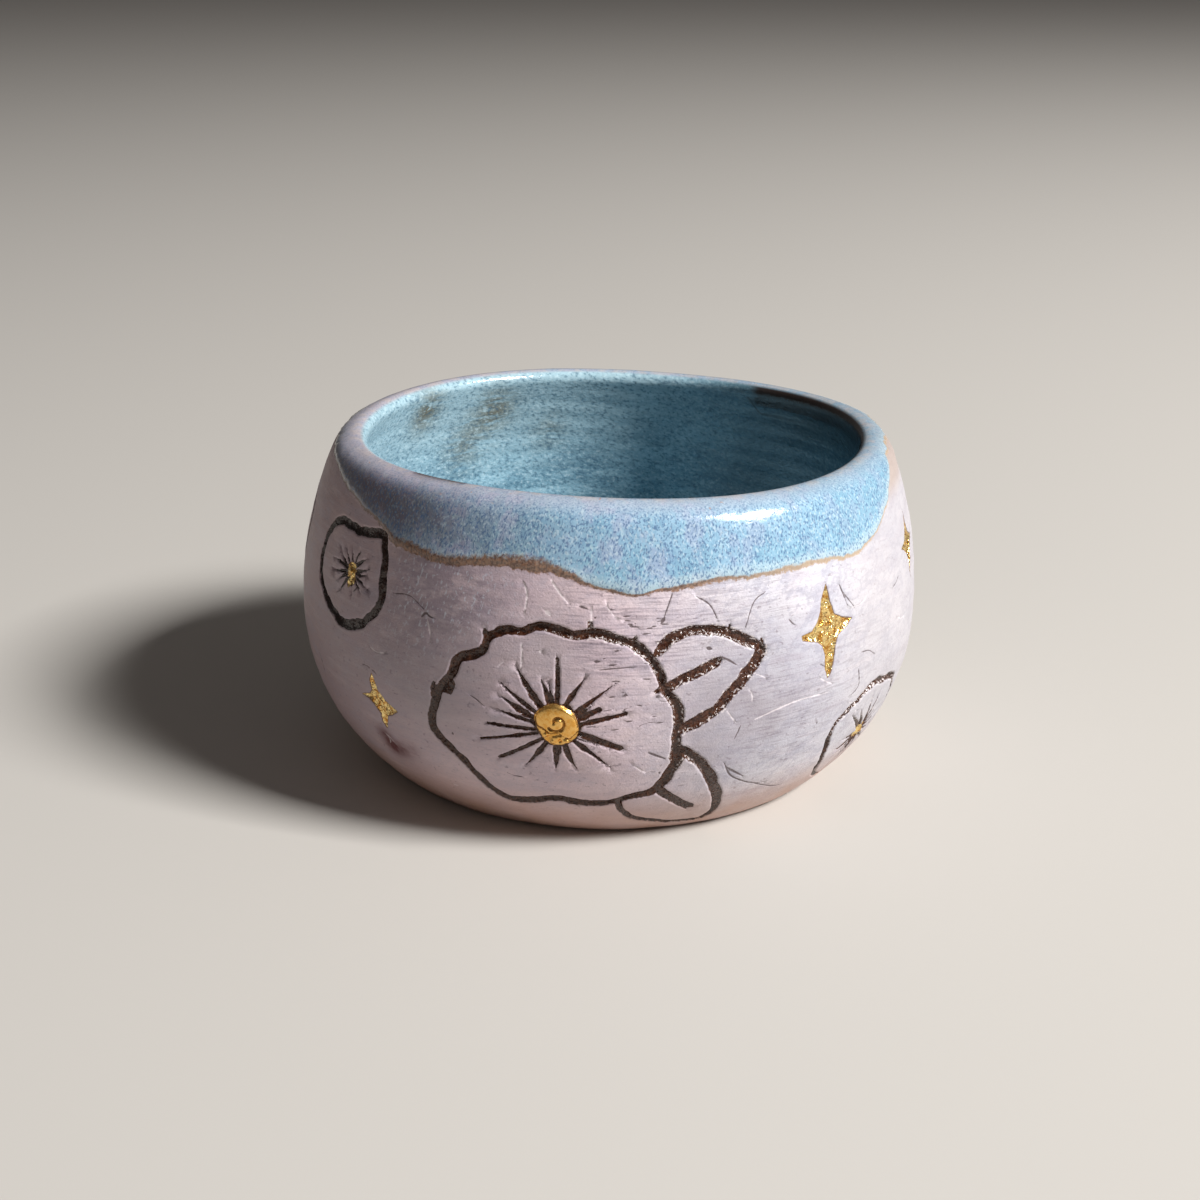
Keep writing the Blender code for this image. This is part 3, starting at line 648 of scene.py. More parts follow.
def front_heart_height(points):
    """The gilded heart of the front blossom: a smooth button with a curl, over a rough lower left edge.
    Returns its height and the distance to its creases."""
    spot = points - FRONT_PLACE
    flat_spot = np.column_stack((points, np.zeros(len(points))))
    distance = np.hypot(*spot.T)
    wavy = 0.2 * np.sin(spot[:, 0] * 2.2) + 0.15 * lumps(flat_spot, 0.8, 21)
    below_lip = -(spot @ np.array((0.32, 0.95))) - 1.15 + wavy
    rough = smooth_step(below_lip, -0.1, 0.15)
    button = spot - BUTTON_PLACE
    from_middle = np.hypot(*button.T)
    dome = BUTTON_HEIGHT * np.sqrt(np.clip(1 - (from_middle / BUTTON_RADIUS)**2, 0, 1))
    turn = (np.arctan2(button[:, 0], button[:, 1]) + 2.1) % (2 * pi)
    curl = 0.35 + 1.25 * turn / (2 * pi)
    groove = CURL_DEPTH * np.exp(-((from_middle - curl) / CURL_WIDTH)**2)
    undercut = 0.35 * np.exp(-((below_lip - 0.2) / 0.16)**2) * (abs(spot[:, 0] - 0.5) < 2.6)
    grain = 0.3 * lumps(flat_spot, 0.55, 5) + 0.12 * lumps(flat_spot, 0.3, 9)
    height = -HEART_DEPTH + (1 - rough) * (dome - groove) + rough * (0.3 + grain) - undercut
    crease = np.minimum(abs(from_middle - curl) + 4 * rough, abs(below_lip - 0.2))
    in_heart = distance < FRONT_HEART + 0.15
    return np.where(distance < FRONT_HEART + 0.75, height, 0.0), np.where(in_heart, crease, REACH)


def relief(points, strokes, gold, places):
    """Height over the plain wall, and the distances that the colours follow."""
    height = np.zeros(len(points))
    gaps = {name: np.full(len(points), REACH) for name in ("dark", "gold", "scratch", "pale")}
    burr = np.zeros(len(points))
    tear = lumps(places, 0.8, 1) * (0.3 + smooth_step(points[:, 1] / WALL_LENGTH, 0.26, 0.42))
    for stroke in strokes:
        distance, half = stroke.measure(points)
        gap = distance - half
        slope = np.clip((1 - distance / half) / (1 - stroke.floor), 0.0, 1.0)
        slope = slope * (1.6 - 0.6 * slope)
        height = np.minimum(height, -stroke.depth * slope * (1 + 0.35 * tear * (stroke.depth > 0.3)))
        fine = stroke.depth == SCRATCH_DEPTH
        name = ("scratch" if stroke.fill == "dark" else "pale") if fine else "dark"
        gaps[name] = np.minimum(gaps[name], gap)
        if stroke.depth == LINE_DEPTH:
            burr = np.maximum(burr, np.exp(-((gap - 0.22) / 0.2)**2))
    height += LINE_BURR * burr * (1 + 1.6 * tear) * (gaps["dark"] > 0)
    lumpy = lumps(places, 0.75, 2) + 0.6 * lumps(places, 0.4, 3)
    heart_height, gaps["crease"] = front_heart_height(points)
    for index, patch in enumerate(gold):
        gap = patch.gap(points)
        gaps["gold"] = np.minimum(gaps["gold"], gap)
        if index == 0:
            ring = gap - 0.35 - 0.5 * lumps(places, 0.9, 14)
            height = np.minimum(height, -HEART_DEPTH * smooth_step(-ring, -0.1, 0.4))
            gaps["dark"] = np.minimum(gaps["dark"], ring)
        inside = smooth_step(-gap, -0.15, 0.3)
        crown = patch.crown * smooth_step(-gap, 0.2, 1.4)
        floor = heart_height if index == 0 else -patch.depth + crown + GOLD_LUMPS * lumpy
        height = height * (1 - inside) + floor * inside
    above = points[:, 1] - glaze_edge(points[:, 0])
    above = above + 0.35 * lumps(places, 2.6, 4) + 0.2 * lumps(places, 0.9, 6)
    coat = GLAZE_THICKNESS * smooth_step(above, -0.1, 1.0) + GLAZE_ROLL * np.exp(-((above - 0.75) / 0.5)**2)
    height += coat
    height += 0.10 * lumps(places, 9.0, 7) + 0.06 * lumps(places * (1, 1, 3.2), 5.0, 8)
    height += 0.05 * lumps(places * (1, 1, 1.6), 2.4, 15) * (above < 0) * smooth_step(gaps["dark"], 0.3, 0.9)
    angles, widths = np.array(STAIN_WIDTH).T
    gaps["stain"] = above / np.interp(np.degrees(points[:, 0] / BELLY_RADIUS), angles, widths, period=360)
    gaps = {name: np.clip(gap, -REACH, REACH) for name, gap in gaps.items()}
    gaps["glaze"] = np.clip(above, -REACH, GLAZE_REACH)
    return height, gaps


def soft_spots(points, spots):
    """Sum of soft round spots on the wall, as (degrees right, share up, radius, strength)."""
    total = np.zeros(len(points))
    for degrees_right, share_up, radius, strength in spots:
        away = points - place(degrees_right, share_up)
        total += strength * np.exp(-(away**2).sum(axis=1) / radius**2)
    return np.clip(total, 0.0, 1.0)


def inner_rings():
    """Profile points inside the cup, from just past the lip to near the middle of the floor, with how far
    along the profile each one is."""
    profile = []
    for arc, step in zip(inner_arcs(), (0.5, 1.1, 1.1, 1.1)):
        centre_x, centre_z, radius, start, end = arc
        angles = np.linspace(start, end, max(3, ceil(abs(end - start) * radius / step)) + 1)[1:]
        profile += [(centre_x + radius * cos(angle), centre_z + radius * sin(angle)) for angle in angles]
    floor_radius = profile[-1][0]
    profile += [(radius, FLOOR) for radius in np.linspace(floor_radius, 1.2, 20)[1:]]
    profile = np.array(profile)
    steps = np.linalg.norm(np.diff(profile, axis=0), axis=1)
    return profile, np.concatenate(([0.4], 0.4 + np.cumsum(steps)))


def wall_sheet():
    """The rolled out wall: flat points, triangles, places on the cup and what the colours follow."""
    strokes, gold = drawing()
    flat, _, triangles, _, _, _ = delaunay_2d_cdt(
        [Vector(point) for point in wall_points(strokes, gold)], [], [], 0, 1e-4, False)
    flat = np.array([tuple(point) for point in flat])
    profile = outer_wall(flat[:, 1])
    angle = flat[:, 0] / BELLY_RADIUS
    plain = uneven(profile[:, 0], profile[:, 1], angle)
    height, gaps = relief(flat, strokes, gold, plain)
    height *= smooth_step(flat[:, 1], 0.2, 2.5)
    lip_fade = smooth_step(WALL_LENGTH - flat[:, 1], 0.0, 2.0)
    height = height * lip_fade + GLAZE_THICKNESS * (1 - lip_fade)
    places = uneven(profile[:, 0] + height * profile[:, 2], profile[:, 1] + height * profile[:, 3], angle)
    return flat, np.array(triangles), places, gaps


def border_twins(flat):
    """For each flat point its own number, or on the right border that of the same point on the left one."""
    half_round = ROUND_LENGTH / 2
    left = {round(flat[index, 1], 3): index for index in np.flatnonzero(flat[:, 0] < -half_round + 1e-3)}
    twins = np.arange(len(flat))
    for index in np.flatnonzero(flat[:, 0] > half_round - 1e-3):
        twins[index] = left[round(flat[index, 1], 3)]
    return twins


def row_of(flat, level):
    """Numbers of the points on a border row, from left to right, without the repeated last one."""
    found = np.flatnonzero(abs(flat[:, 1] - level) < 1e-4)
    return found[np.argsort(flat[found, 0])][:-1]


def wall_map(flat, triangles):
    """Bake map of the wall, with its front half in the top strip and its back half in the next one."""
    half_round = ROUND_LENGTH / 2
    corner_x, corner_y = flat[triangles, 0], flat[triangles, 1]
    middle_x = corner_x.mean(axis=1)[:, None]
    back = abs(middle_x) > half_round / 2
    turn = (corner_x - np.where(back, np.sign(middle_x) * half_round, 0.0)) / ROUND_LENGTH
    map_x = GUTTER + (1 - 2 * GUTTER) * (2 * turn + 0.5)
    strip = np.where(back, 1 - 2 * WALL_STRIP, 1 - WALL_STRIP)
    map_y = strip + GUTTER + (WALL_STRIP - 2 * GUTTER) * corner_y / WALL_LENGTH
    return np.column_stack((map_x.ravel(), map_y.ravel()))


class CupSurface:
    """The surface of the cup as it grows from the wall: points, faces, bake map and numbers for colours."""

    def __init__(self):
        flat, triangles, places, gaps = wall_sheet()
        twins = border_twins(flat)
        self.points, self.count = [places], len(flat)
        self.faces = twins[triangles].tolist()
        self.bake = [wall_map(flat, triangles)]
        self.numbers = {name: [gap] for name, gap in gaps.items()}
        self.numbers |= {name: [soft_spots(flat, spots)] for name, spots in SOFT_SPOTS.items()}
        self.numbers |= {"inside": [np.full(len(flat), -1.0)], "rise": [flat[:, 1] / WALL_LENGTH]}
        self.top = [int(twins[index]) for index in row_of(flat, WALL_LENGTH)]
        self.bottom = [int(twins[index]) for index in row_of(flat, 0.0)]
        self.around = np.linspace(-pi, pi, COLUMNS + 1)

    def add_ring(self, ring, depth):
        """Adds a ring of points inside the cup, this far past the lip, or on the underside where depth is
        below zero. Returns their numbers."""
        inner = depth >= 0
        level = WALL_LENGTH + depth if inner else -depth
        flat = np.column_stack((BELLY_RADIUS * self.around[:len(ring)], np.full(len(ring), level)))
        values = {name: soft_spots(flat, spots) for name, spots in SOFT_SPOTS.items()}
        values |= {"inside": depth, "rise": 1.0 if inner else 0.0}
        values |= dict.fromkeys(("glaze", "stain"), GLAZE_REACH if inner else -REACH)
        for name, parts in self.numbers.items():
            parts.append(np.full(len(ring), values.get(name, REACH)))
        self.points.append(ring)
        self.count += len(ring)
        return list(range(self.count - len(ring), self.count))

    def add_band(self, lower, upper, lower_map, upper_map):
        """Faces between two rings."""
        for index in range(COLUMNS):
            after = (index + 1) % COLUMNS
            self.faces.append([lower[index], lower[after], upper[after], upper[index]])
            self.bake.append(np.array((lower_map[index], lower_map[index + 1],
                                       upper_map[index + 1], upper_map[index])))

    def add_inside(self):
        """The inner wall with its throwing ridges, and the floor, from the top of the lip to the middle."""
        angle = self.around[:-1]
        rings, depths = inner_rings()
        turned = np.linspace(GUTTER, WELL_WIDTH, COLUMNS + 1)
        well_top = 1 - 2 * WALL_STRIP - GUTTER

        def on_map(depth):
            return np.column_stack((turned, np.full(COLUMNS + 1, well_top * (1 - depth / (depths[-1] + 3)))))

        inward = np.column_stack((-np.sin(angle), np.cos(angle), np.full(COLUMNS, 0.35)))
        before, before_map = self.top, on_map(0.0)
        for (radius, level), depth in zip(rings, depths):
            ring = uneven(np.full(COLUMNS, radius), np.full(COLUMNS, level), angle)
            turning = 2 * pi * depth / RIDGE_SPACING + 0.8 * angle + 1.4 * lumps(ring, 14.0, 11)
            ridge = RIDGE_HEIGHT * np.sin(turning) + 0.12 * lumps(ring, 6.0, 12)
            ridge *= smooth_step(np.array([depth]), 1.5, 7.0)
            here = self.add_ring(ring + (GLAZE_THICKNESS + ridge)[:, None] * inward, depth)
            here_map = on_map(depth)
            self.add_band(before, here, before_map, here_map)
            before, before_map = here, here_map
        floor_middle = uneven(np.zeros(1), np.full(1, FLOOR + GLAZE_THICKNESS * 0.35), np.zeros(1))
        middle = self.add_ring(floor_middle, depths[-1] + 1.2)
        middle_y = well_top * 2 / (depths[-1] + 3)
        for index in range(COLUMNS):
            middle_x = (turned[index] + turned[index + 1]) / 2
            self.faces.append([before[index], before[(index + 1) % COLUMNS], middle[0]])
            self.bake.append(np.array((before_map[index], before_map[index + 1], (middle_x, middle_y))))

    def add_underside(self):
        """The flat underside, shown as a disc on the bake map."""
        foot_radius = BELLY_RADIUS - FOOT_INSET - FOOT_ROUND
        disc = (1 - WELL_WIDTH) / 2 - GUTTER
        disc_middle = np.array((1 - disc - GUTTER / 2, disc + GUTTER))
        disc_edge = disc * np.column_stack((np.sin(self.around), np.cos(self.around)))
        after, after_map = self.bottom, disc_middle + disc_edge
        for share in (0.97, 0.8, 0.5, 0.2):
            ring = uneven(np.full(COLUMNS, share * foot_radius), np.zeros(COLUMNS), self.around[:-1])
            here, here_map = self.add_ring(ring, -1.0), disc_middle + share * disc_edge
            self.add_band(here, after, here_map, after_map)
            after, after_map = here, here_map
        middle = self.add_ring(np.zeros((1, 3)), -1.0)
        for index in range(COLUMNS):
            self.faces.append([after[(index + 1) % COLUMNS], after[index], middle[0]])
            self.bake.append(np.array((after_map[index + 1], after_map[index], disc_middle)))

    def mesh(self):
        """The surface as a mesh, without the points that no face uses."""
        points = np.vstack(self.points)
        used = np.zeros(len(points), dtype=bool)
        used[[index for face in self.faces for index in face]] = True
        renumbered = np.cumsum(used) - 1
        faces = [[int(renumbered[index]) for index in face] for face in self.faces]
        data = bpy.data.meshes.new("fired_cup")
        data.from_pydata((points[used] * MM).tolist(), [], faces)
        for name, parts in self.numbers.items():
            attribute = data.attributes.new(name, "FLOAT", "POINT")
            attribute.data.foreach_set("value", np.concatenate(parts)[used].astype(np.float32))
        layer = data.uv_layers.new(name="OFBake")
        layer.data.foreach_set("uv", np.vstack(self.bake).astype(np.float32).ravel())
        data.shade_smooth()
        return data


def cup_mesh():
    """The whole surface of the cup as one closed mesh."""
    surface = CupSurface()
    surface.add_inside()
    surface.add_underside()
    return surface.mesh()


def paint(red, green, blue):
    """A colour as seen, from 0 to 255, as the linear values that Blender takes."""
    values = np.array((red, green, blue)) / 255
    linear = np.where(values < 0.04045, values / 12.92, ((values + 0.055) / 1.055)**2.4)
    return (*linear, 1.0)


class Output:
    """An output of a finish's node. Arithmetic on it adds Math nodes."""

    def __init__(self, finish, socket):
        self.finish, self.socket = finish, socket

    def maths(self, operation, *values):
        return self.finish.node("ShaderNodeMath", {"operation": operation}, dict(enumerate(values)))

    def __add__(self, other):
        return self.maths("ADD", self, other)

    def __sub__(self, other):
        return self.maths("SUBTRACT", self, other)

    def __rsub__(self, other):
        return self.maths("SUBTRACT", other, self)

    def __mul__(self, other):
        return self.maths("MULTIPLY", self, other)

    __radd__, __rmul__ = __add__, __mul__

    def most(self, other):
        return self.maths("MAXIMUM", self, other)

    def least(self, other):
        return self.maths("MINIMUM", self, other)

    def between(self, low, high):
        """0 at low and 1 at high, with soft ends. High may be the lower number."""
        settings = {"interpolation_type": "SMOOTHSTEP"}
        return self.finish.node("ShaderNodeMapRange", settings, {"Value": self, 1: low, 2: high})


class Finish:
    """A material, built by adding nodes to it."""

    def __init__(self, name):
        self.material = bpy.data.materials.new(name)
        self.material.use_nodes = True
        self.tree = self.material.node_tree
        self.tree.nodes.clear()
        self.place = self.node("ShaderNodeTexCoord", output="Object")

    def node(self, kind, settings=None, values=None, output=0):
        """Adds a node. Settings are set first, then each socket gets its value or its link."""
        node = self.tree.nodes.new(kind)
        for name, value in (settings or {}).items():
            setattr(node, name, value)
        for name, value in (values or {}).items():
            if isinstance(value, Output):
                self.tree.links.new(value.socket, node.inputs[name])
            else:
                node.inputs[name].default_value = value
        return Output(self, node.outputs[output]) if node.outputs else node

    def attribute(self, name):
        return self.node("ShaderNodeAttribute", {"attribute_name": name}, output="Fac")

    def along(self, axis):
        """How far a place is from the middle along X (to the right) or Y (to the back), in millimetres."""
        return self.node("ShaderNodeSeparateXYZ", None, {"Vector": self.place}, output=axis) * 1000

    def noise(self, size, detail=2.0, rough=0.5, stretch=(1, 1, 1), shift=0.0, tilt=0.0):
        """Noise with blotches of about the given size in millimetres, stretched along each axis. A tilt in
        degrees makes streaks rise to the right."""
        turned = self.node("ShaderNodeVectorRotate", {"rotation_type": "Y_AXIS"},
                           {"Vector": self.place, "Angle": radians(tilt)})
        scaled = self.node("ShaderNodeVectorMath", {"operation": "MULTIPLY"},
                           {0: turned, 1: tuple(1000 / (size * axis) for axis in stretch)})
        spot = self.node("ShaderNodeVectorMath", {"operation": "ADD"}, {0: scaled, 1: (shift, 2 * shift, 0)})
        return self.node("ShaderNodeTexNoise", None,
                         {"Vector": spot, "Scale": 1.0, "Detail": detail, "Roughness": rough})

    def blend(self, share, below, above):
        """A colour between two others."""
        return self.node("ShaderNodeMix", {"data_type": "RGBA"}, {0: share, 6: below, 7: above}, output=2)

    def coats(self, colour, *coats):
        """Coats of colour over each other, each given by how much of it shows and its colour as seen."""
        for share, seen in coats:
            colour = self.blend(share, colour, paint(*seen))
        return colour


def clay_colour(finish, rise, dark_scratch, pale_scratch):
    """Pink grey slip over the body, cooler and marbled to the right: brushed bands, dashes, pits and dirt.
    Darker and browner to the left in painted shade, and warmer towards the foot, partly in painted shade and
    painted reflected light.
    """
    right = finish.along("X")
    clouds = finish.noise(13.0, 3.0, 0.55, (1, 1, 0.8), 11.0).between(0.3, 0.7)
    pinker = finish.blend(clouds, paint(198, 177, 185), paint(215, 193, 197))
    cooler = finish.blend(clouds, paint(196, 197, 207), paint(213, 211, 217))
    bands = finish.noise(2.2, 4.0, 0.6, (5, 5, 0.8), 3.0)
    grain = finish.noise(0.5, 3.0, 0.6, shift=7.0)
    dashes = finish.noise(0.5, 2.0, 0.6, (3.5, 3.5, 0.7), 19.0)
    pits = finish.noise(0.6, 1.0, 0.5, (1.3, 1.3, 0.9), 21.0)
    marbling = finish.noise(3.4, 4.0, 0.68, (1.6, 1.6, 0.8), 25.0, 28).between(0.5, 0.66)
    vein = finish.noise(4.0, 4.0, 0.6, (1.5, 1.5, 0.9), 26.0, 28) - 0.5
    rubbed = finish.attribute("rubbed") * finish.noise(0.5, 4.0, 0.7, (9, 9, 0.6), 27.0).between(0.48, 0.62)
    dirty = finish.attribute("grime")
    grime = dirty * finish.noise(2.0, 4.0, 0.65, (1.5, 1.5, 0.8), 33.0).between(0.3, 0.6)
    frost = dirty * finish.noise(0.45, 2.0, 0.6, (1, 1, 2.0), 34.0, -20).between(0.58, 0.66)
    # Warmer and darker towards the foot: partly the bare clay's tone, partly painted shade and painted warm
    # reflected light from below.
    foot = rise.between(0.3, 0.06) * (0.45 + 0.9 * finish.noise(7.0, 3.0, shift=5.0))
    smudge = finish.attribute("smudge") * (0.5 + finish.noise(1.0, 3.0))
    cool = right.between(-4, 26)
    return finish.coats(
        finish.blend(cool, pinker, cooler),
        # Darker and browner to the left: painted shade on the side away from the lamp.
        (right.between(-12, -48) * 0.6, (140, 108, 104)),
        (bands.between(0.45, 0.7) * 0.4, (168, 156, 170)),
        (bands.between(0.5, 0.25) * 0.3, (228, 214, 220)),
        (grain.between(0.5, 0.72) * 0.3, (160, 144, 156)),
        (marbling * (0.16 + 0.28 * cool), (168, 168, 186)),
        ((vein * vein).between(0.0014, 0.0) * (0.1 + 0.26 * cool), (148, 148, 166)),
        (finish.attribute("dull") * (0.45 + 0.45 * clouds), (148, 140, 148)),
        (dashes.between(0.58, 0.72) * 0.35, (142, 130, 142)),
        (pits.between(0.66, 0.76) * 0.5, (112, 98, 106)),
        (grime * 0.65, (126, 112, 126)),
        (frost * 0.6, (196, 200, 212)),
        (rubbed * 0.5, (112, 100, 112)),
        (right.between(28, 44) * 0.6, (174, 168, 170)),
        (right.between(38, 46) * rise.between(0.84, 0.9) * 0.6, (164, 142, 124)),
        (foot.least(1.0) * 0.9, (184, 146, 128)),
        (smudge.least(1.0), (92, 46, 48)),
        (pale_scratch * 0.55, (232, 222, 224)),
        (dark_scratch * 0.85, (72, 56, 56)))


def glaze_colour(finish, above, rise):
    """Blue glaze full of fine dark and pale flecks, greyer and darker to the left, partly its own tone and
    partly painted shade, with a frothy lower edge.
    """
    right = finish.along("X")
    cloud = finish.noise(6.5, 3.0, 0.5, (1, 1, 1.4), 37.0).between(0.35, 0.68)
    bluer = finish.blend(cloud, paint(132, 172, 194), paint(146, 180, 204))
    greyer = finish.blend(cloud, paint(130, 144, 160), paint(140, 140, 160))
    fleck = finish.noise(0.27, 1.0, 0.5, (1, 1, 2.2), 31.0, -15)
    pale_fleck = finish.noise(0.34, 1.0, 0.5, (1, 1, 1.8), 35.0, 12)
    mottle = finish.noise(1.5, 3.0, 0.65, (1, 1, 1.3), 39.0)
    veil = finish.noise(3.2, 3.0, 0.6, (1, 1, 1.5), 43.0)
    froth = (above + 1.8 * (finish.noise(0.8, 3.0, 0.6, shift=47.0) - 0.5)).between(2.4, 1.0)
    lip = rise.between(0.925, 0.975)
    rust = finish.noise(1.3, 2.0, 0.6, shift=51.0).between(0.7, 0.75)
    tan = rise.between(0.97, 0.995) * finish.noise(2.4, 3.0, 0.6, shift=53.0).between(0.4, 0.6)
    # Towards the left the glaze turns greyer, darker and browner, with fewer pale flecks and less froth:
    # partly its own tone, partly painted shade on the side away from the lamp.
    paleness = 0.42 - 0.15 * lip - 0.25 * right.between(-12, -34)
    return finish.coats(
        finish.blend(right.between(2, -34), bluer, greyer),
        (mottle.between(0.45, 0.65) * 0.45, (108, 146, 176)),
        (mottle.between(0.42, 0.3) * 0.4, (172, 200, 206)),
        (veil.between(0.5, 0.64) * 0.3, (172, 158, 186)),
        (veil.between(0.5, 0.38) * right.between(-8, -26) * 0.4, (106, 104, 128)),
        (lip * (0.45 + 0.3 * right.between(-16, -44)), (188, 182, 192)),
        (right.between(8, 40) * 0.45, (126, 164, 182)),
        (right.between(-16, -36) * rise.between(0.82, 0.88) * rise.between(0.97, 0.93) * 0.75, (100, 86, 92)),
        (right.between(-38, -50) * rise.between(0.97, 0.9) * 0.6, (112, 92, 92)),
        (froth * (0.5 - 0.4 * right.between(-20, -38)), (186, 202, 206)),
        (fleck.between(0.5, 0.36) * (0.75 - 0.35 * lip), (80, 106, 142)),
        (pale_fleck.between(0.53, 0.68) * paleness, (198, 216, 224)),
        (rust * lip * 0.7, (172, 124, 92)),
        (tan * 0.35, (206, 188, 174)))


def inside_colour(finish, inside):
    """Mottled teal glaze with olive patches: paler high at the left in painted light, darker to the right in
    painted shade, and a nearly black rim at the right that is partly the glaze breaking brown and partly
    painted shade.
    """
    right = finish.along("X")
    cloud = finish.noise(9.0, 4.0, 0.6, (1.6, 1.6, 0.8), 71.0).between(0.35, 0.65)
    grainy = finish.noise(0.6, 3.0, 0.65, (1.4, 1.4, 0.9), 67.0, -20)
    dab = finish.noise(1.6, 3.0, 0.6, (2.2, 2.2, 0.8), 63.0)
    ragged = 2.0 * (dab - 0.5)
    olive = finish.attribute("olive") * finish.noise(2.0, 4.0, 0.7, (3.6, 3.6, 0.7), 61.0).between(0.36, 0.54)
    # A dark band under the lip at the back right and a dark line just below it: partly the glaze breaking
    # brown, partly painted shade.
    at_back = (finish.along("Y") + 8 * ragged).between(-20, 4)
    rim = inside.between(0.6, 1.0) * (inside + ragged).between(5.2, 4.5)
    rim = rim * (right + ragged).between(26, 28.5) * at_back
    low_rim_line = inside - 3.6 - 3.2 * right.between(26.0, 29.0) + 0.4 * ragged
    low_rim_line = (low_rim_line * low_rim_line).between(0.2, 0.0) * right.between(25.8, 26.4) * right.between(37, 31) * at_back
    return finish.coats(
        finish.blend(cloud, paint(114, 152, 170), paint(144, 182, 198)),
        (dab.between(0.5, 0.66) * 0.4, (170, 202, 214)),
        (dab.between(0.48, 0.34) * 0.4, (90, 124, 144)),
        # Paler high at the left: painted light where the lamp reaches inside.
        (inside.between(26, 6) * right.between(28, 4) * 0.55, (182, 208, 216)),
        (olive * 0.9, (108, 96, 66)),
        (grainy.between(0.48, 0.36) * 0.6, (66, 100, 122)),
        (grainy.between(0.54, 0.66) * 0.5, (198, 222, 230)),
        # Darker to the right and nearly black high up there: painted shade on the inside wall that faces away
        # from the lamp.
        (right.between(13, 30) * 0.7, (46, 78, 90)),
        (right.between(25, 38) * inside.between(15, 5) * 0.75, (30, 40, 44)),
        (low_rim_line * 0.6, (28, 36, 38)),
        (rim * 0.92, (46, 28, 19)))


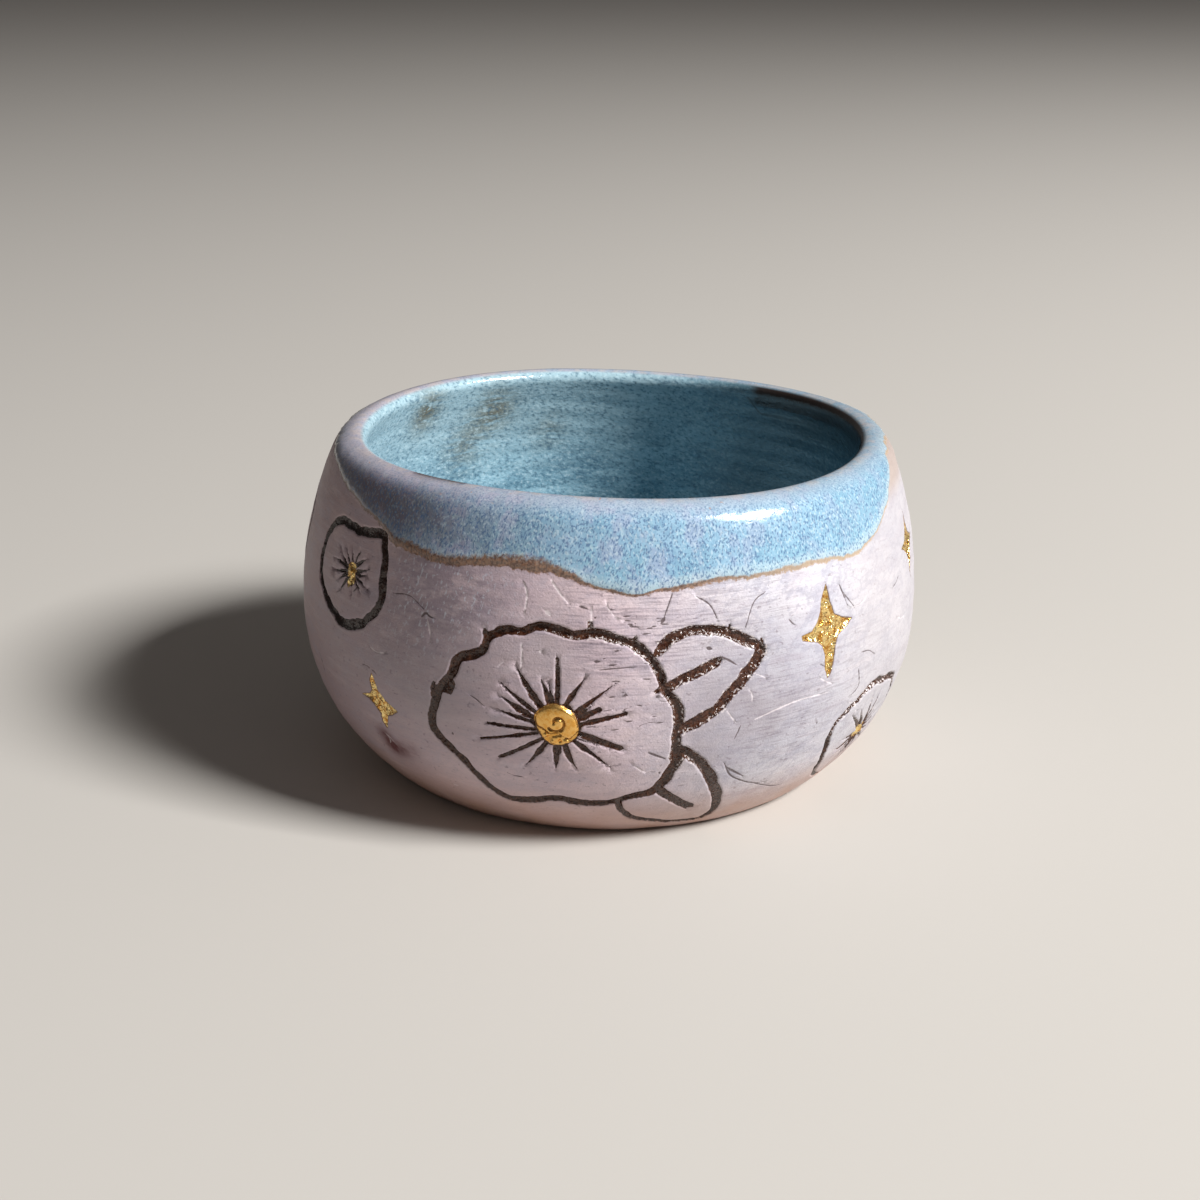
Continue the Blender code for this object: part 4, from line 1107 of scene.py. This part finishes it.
def fired_finish():
    """Clay, glaze, dark carved lines and gold, chosen at each place by its distance to their edges."""
    finish = Finish("fired_cup")
    ragged = finish.noise(0.7, 4.0, 0.65, shift=2.0) - 0.5
    fuzz = finish.noise(0.3, 2.0, 0.6, shift=13.0) - 0.5
    right = finish.along("X")
    inside, rise, above = (finish.attribute(name) for name in ("inside", "rise", "glaze"))
    button = finish.attribute("button")
    gold_gap = finish.attribute("gold") + 0.22 * ragged
    dark_gap = finish.attribute("dark") + 0.3 * ragged + 0.08 * fuzz
    gold = gold_gap.between(0.04, -0.04)
    dark = dark_gap.between(0.0, -0.12) * (1 - gold)
    scratch = (finish.attribute("scratch") + 0.12 * ragged).between(0.06, -0.06)
    pale = (finish.attribute("pale") + 0.12 * ragged).between(0.06, -0.06)
    edge = above + 1.1 * ragged + 0.5 * fuzz
    glazed = edge.between(-0.15, 0.15)
    well = inside.between(0.1, 1.1)
    band = finish.attribute("stain") + 1.2 * ragged + 0.6 * fuzz
    band = edge.between(-0.3, 0.0) * band.between(1.3, 0.6)

    soot = finish.noise(0.5, 3.0, 0.6, shift=23.0)
    off_the_rays = right.between(7, 11).most(rise.between(0.56, 0.6))
    # Pale specks at the torn edges, on the lit side of the outline and off the rays: painted glints.
    painted_glint = dark_gap.between(-0.55, -0.3) * dark_gap.between(0.3, 0.1) * right.between(-14, 4)
    painted_glint = painted_glint * off_the_rays * rise.between(0.28, 0.36)
    painted_glint = painted_glint * finish.noise(0.42, 2.0, 0.6, shift=15.0).between(0.53, 0.62)
    line = finish.blend(soot.between(0.4, 0.7), paint(54, 26, 15), paint(86, 54, 38))
    # Lines darker towards the left: painted shade.
    line = finish.blend(right.between(-20, -42) * 0.7, line, paint(30, 22, 22))
    lustre = finish.noise(0.8, 3.0, 0.6, shift=29.0)
    gilt = finish.blend(lustre.between(0.35, 0.6), paint(200, 142, 60), paint(250, 222, 152))
    gilt = finish.blend(button * 0.7, gilt, paint(232, 172, 84))
    pit = finish.noise(0.55, 2.0, 0.6, shift=30.0).between(0.6, 0.67) * (1 - button)
    # Dark brown in the creases of the front heart's curl and under its lip: painted shade in the grooves.
    crease = finish.attribute("crease").between(0.3, 0.08)
    gold_tone = finish.coats(gilt, (pit * 0.8, (92, 56, 20)), (crease * 0.8, (104, 58, 16)))
    edging = finish.blend(soot.between(0.36, 0.6), paint(144, 98, 56), paint(106, 70, 42))
    # The brown band is paler to the right, and darker to the left in painted shade.
    edging = finish.blend(right.between(8, 36) * 0.9, edging, paint(184, 158, 128))
    edging = finish.blend(right.between(-28, -42) * 0.8, edging, paint(84, 66, 60))
    colour = finish.blend(glazed, clay_colour(finish, rise, scratch, pale), glaze_colour(finish, above, rise))
    colour = finish.blend(band * 0.85, colour, edging)
    colour = finish.coats(colour, (band * soot.between(0.5, 0.64) * right.between(36, 4) * 0.5, (84, 56, 38)))
    colour = finish.blend(well, colour, inside_colour(finish, inside))
    colour = finish.coats(colour, (finish.attribute("gap") * (0.9 + ragged), (62, 46, 38)))
    colour = finish.blend(dark, colour, line)
    colour = finish.coats(colour, (painted_glint * 0.85, (222, 212, 212)),
                          (gold_gap.between(0.2, 0.06) * 0.85, (96, 56, 24)))
    colour = finish.blend(gold, colour, gold_tone)

    glassy = glazed.most(inside.between(-0.5, 0.5))
    roughness = 0.46 - 0.28 * glassy + (finish.noise(1.4, 3.0, shift=59.0) - 0.5) * 0.12
    roughness = roughness * (1 - dark) + 0.2 * dark
    roughness = roughness * (1 - gold) + (0.17 + 0.1 * button) * gold

    grain = finish.noise(0.35, 4.0, 0.6, shift=73.0) - 0.5
    brushed = finish.noise(0.8, 4.0, 0.6, (8, 8, 0.6), 79.0) - 0.5
    bead = finish.noise(0.55, 2.0, 0.5, shift=89.0) - 0.5
    peel = finish.noise(1.5, 3.0, 0.5, shift=97.0) - 0.5
    dimple = finish.noise(0.7, 2.0, 0.6, (1.6, 1.6, 0.9), 99.0) - 0.5
    bare = (1 - glassy) * (1 - dark) * (1 - gold)
    relief_mm = bare * (0.07 * grain + 0.05 * brushed) + glassy * (0.09 * peel + 0.012 * grain) \
        + well * (0.1 * dimple) + dark * (0.34 * bead) + gold * (0.34 - 0.31 * button) * bead
    normal = finish.node("ShaderNodeBump", None, {"Strength": 1.0, "Distance": MM, "Height": relief_mm})
    surface = finish.node("ShaderNodeBsdfPrincipled", None, {
        "Base Color": colour, "Roughness": roughness, "Metallic": gold * (1 - pit) * 0.9, "Normal": normal,
        "IOR": 1.5})
    finish.node("ShaderNodeOutputMaterial", None, {"Surface": surface})
    return finish.material


def plain_finish(name, colour, roughness):
    finish = Finish(name)
    surface = finish.node("ShaderNodeBsdfPrincipled", None, {"Base Color": colour, "Roughness": roughness})
    finish.node("ShaderNodeOutputMaterial", None, {"Surface": surface})
    return finish.material


def add_floor():
    """A pale floor, just below the cup."""
    reach_m = 12.0
    corners = [(x * reach_m, y * reach_m, 0) for x, y in ((-1, -1), (1, -1), (1, 1), (-1, 1))]
    data = bpy.data.meshes.new("floor")
    data.from_pydata(corners, [], [(0, 1, 2, 3)])
    floor = bpy.data.objects.new("floor", data)
    floor.location.z = -0.00005
    data.materials.append(plain_finish("pale_floor", paint(196, 192, 186), 0.7))
    bpy.context.scene.collection.objects.link(floor)


def add_lamp(name, place_m, width, height, power, colour):
    lamp = bpy.data.lights.new(name, "AREA")
    lamp.shape, lamp.size, lamp.size_y, lamp.energy, lamp.color = "RECTANGLE", width, height, power, colour
    thing = bpy.data.objects.new(name, lamp)
    thing.location = place_m
    thing.rotation_euler = (Vector((0, 0, 0.03)) - Vector(place_m)).to_track_quat("-Z", "Y").to_euler()
    bpy.context.scene.collection.objects.link(thing)


def add_studio():
    """Soft key from the right front, and a dim pale surround."""
    add_lamp("key_lamp", (1.42, -0.68, 1.34), 0.56, 0.5, 76.0, (1.0, 0.99, 0.98))
    world = bpy.data.worlds.new("pale_surround")
    world.use_nodes = True
    world.node_tree.nodes["Background"].inputs["Color"].default_value = (1.0, 0.93, 0.89, 1.0)
    world.node_tree.nodes["Background"].inputs["Strength"].default_value = 0.1
    bpy.context.scene.world = world
    bpy.context.scene.view_settings.view_transform = "Standard"


def add_camera():
    """The photograph's view: close in front, looking down at the cup."""
    camera = bpy.data.cameras.new("camera")
    camera.lens, camera.sensor_width = 54.0, 36.0
    camera.clip_start, camera.clip_end = 0.01, 20.0
    thing = bpy.data.objects.new("camera", camera)
    thing.location = (0.0, -0.2947, 0.1355)
    thing.rotation_euler = (radians(90 - 20.69), 0.0, radians(0.22))
    bpy.context.scene.collection.objects.link(thing)
    bpy.context.scene.camera = thing


def add_cup():
    cup = bpy.data.objects.new("fired_cup", cup_mesh())
    cup.data.materials.append(fired_finish())
    bpy.context.scene.collection.objects.link(cup)
    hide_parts("cup")
    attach(cup, "root")


add_floor()
add_studio()
add_camera()
add_cup()
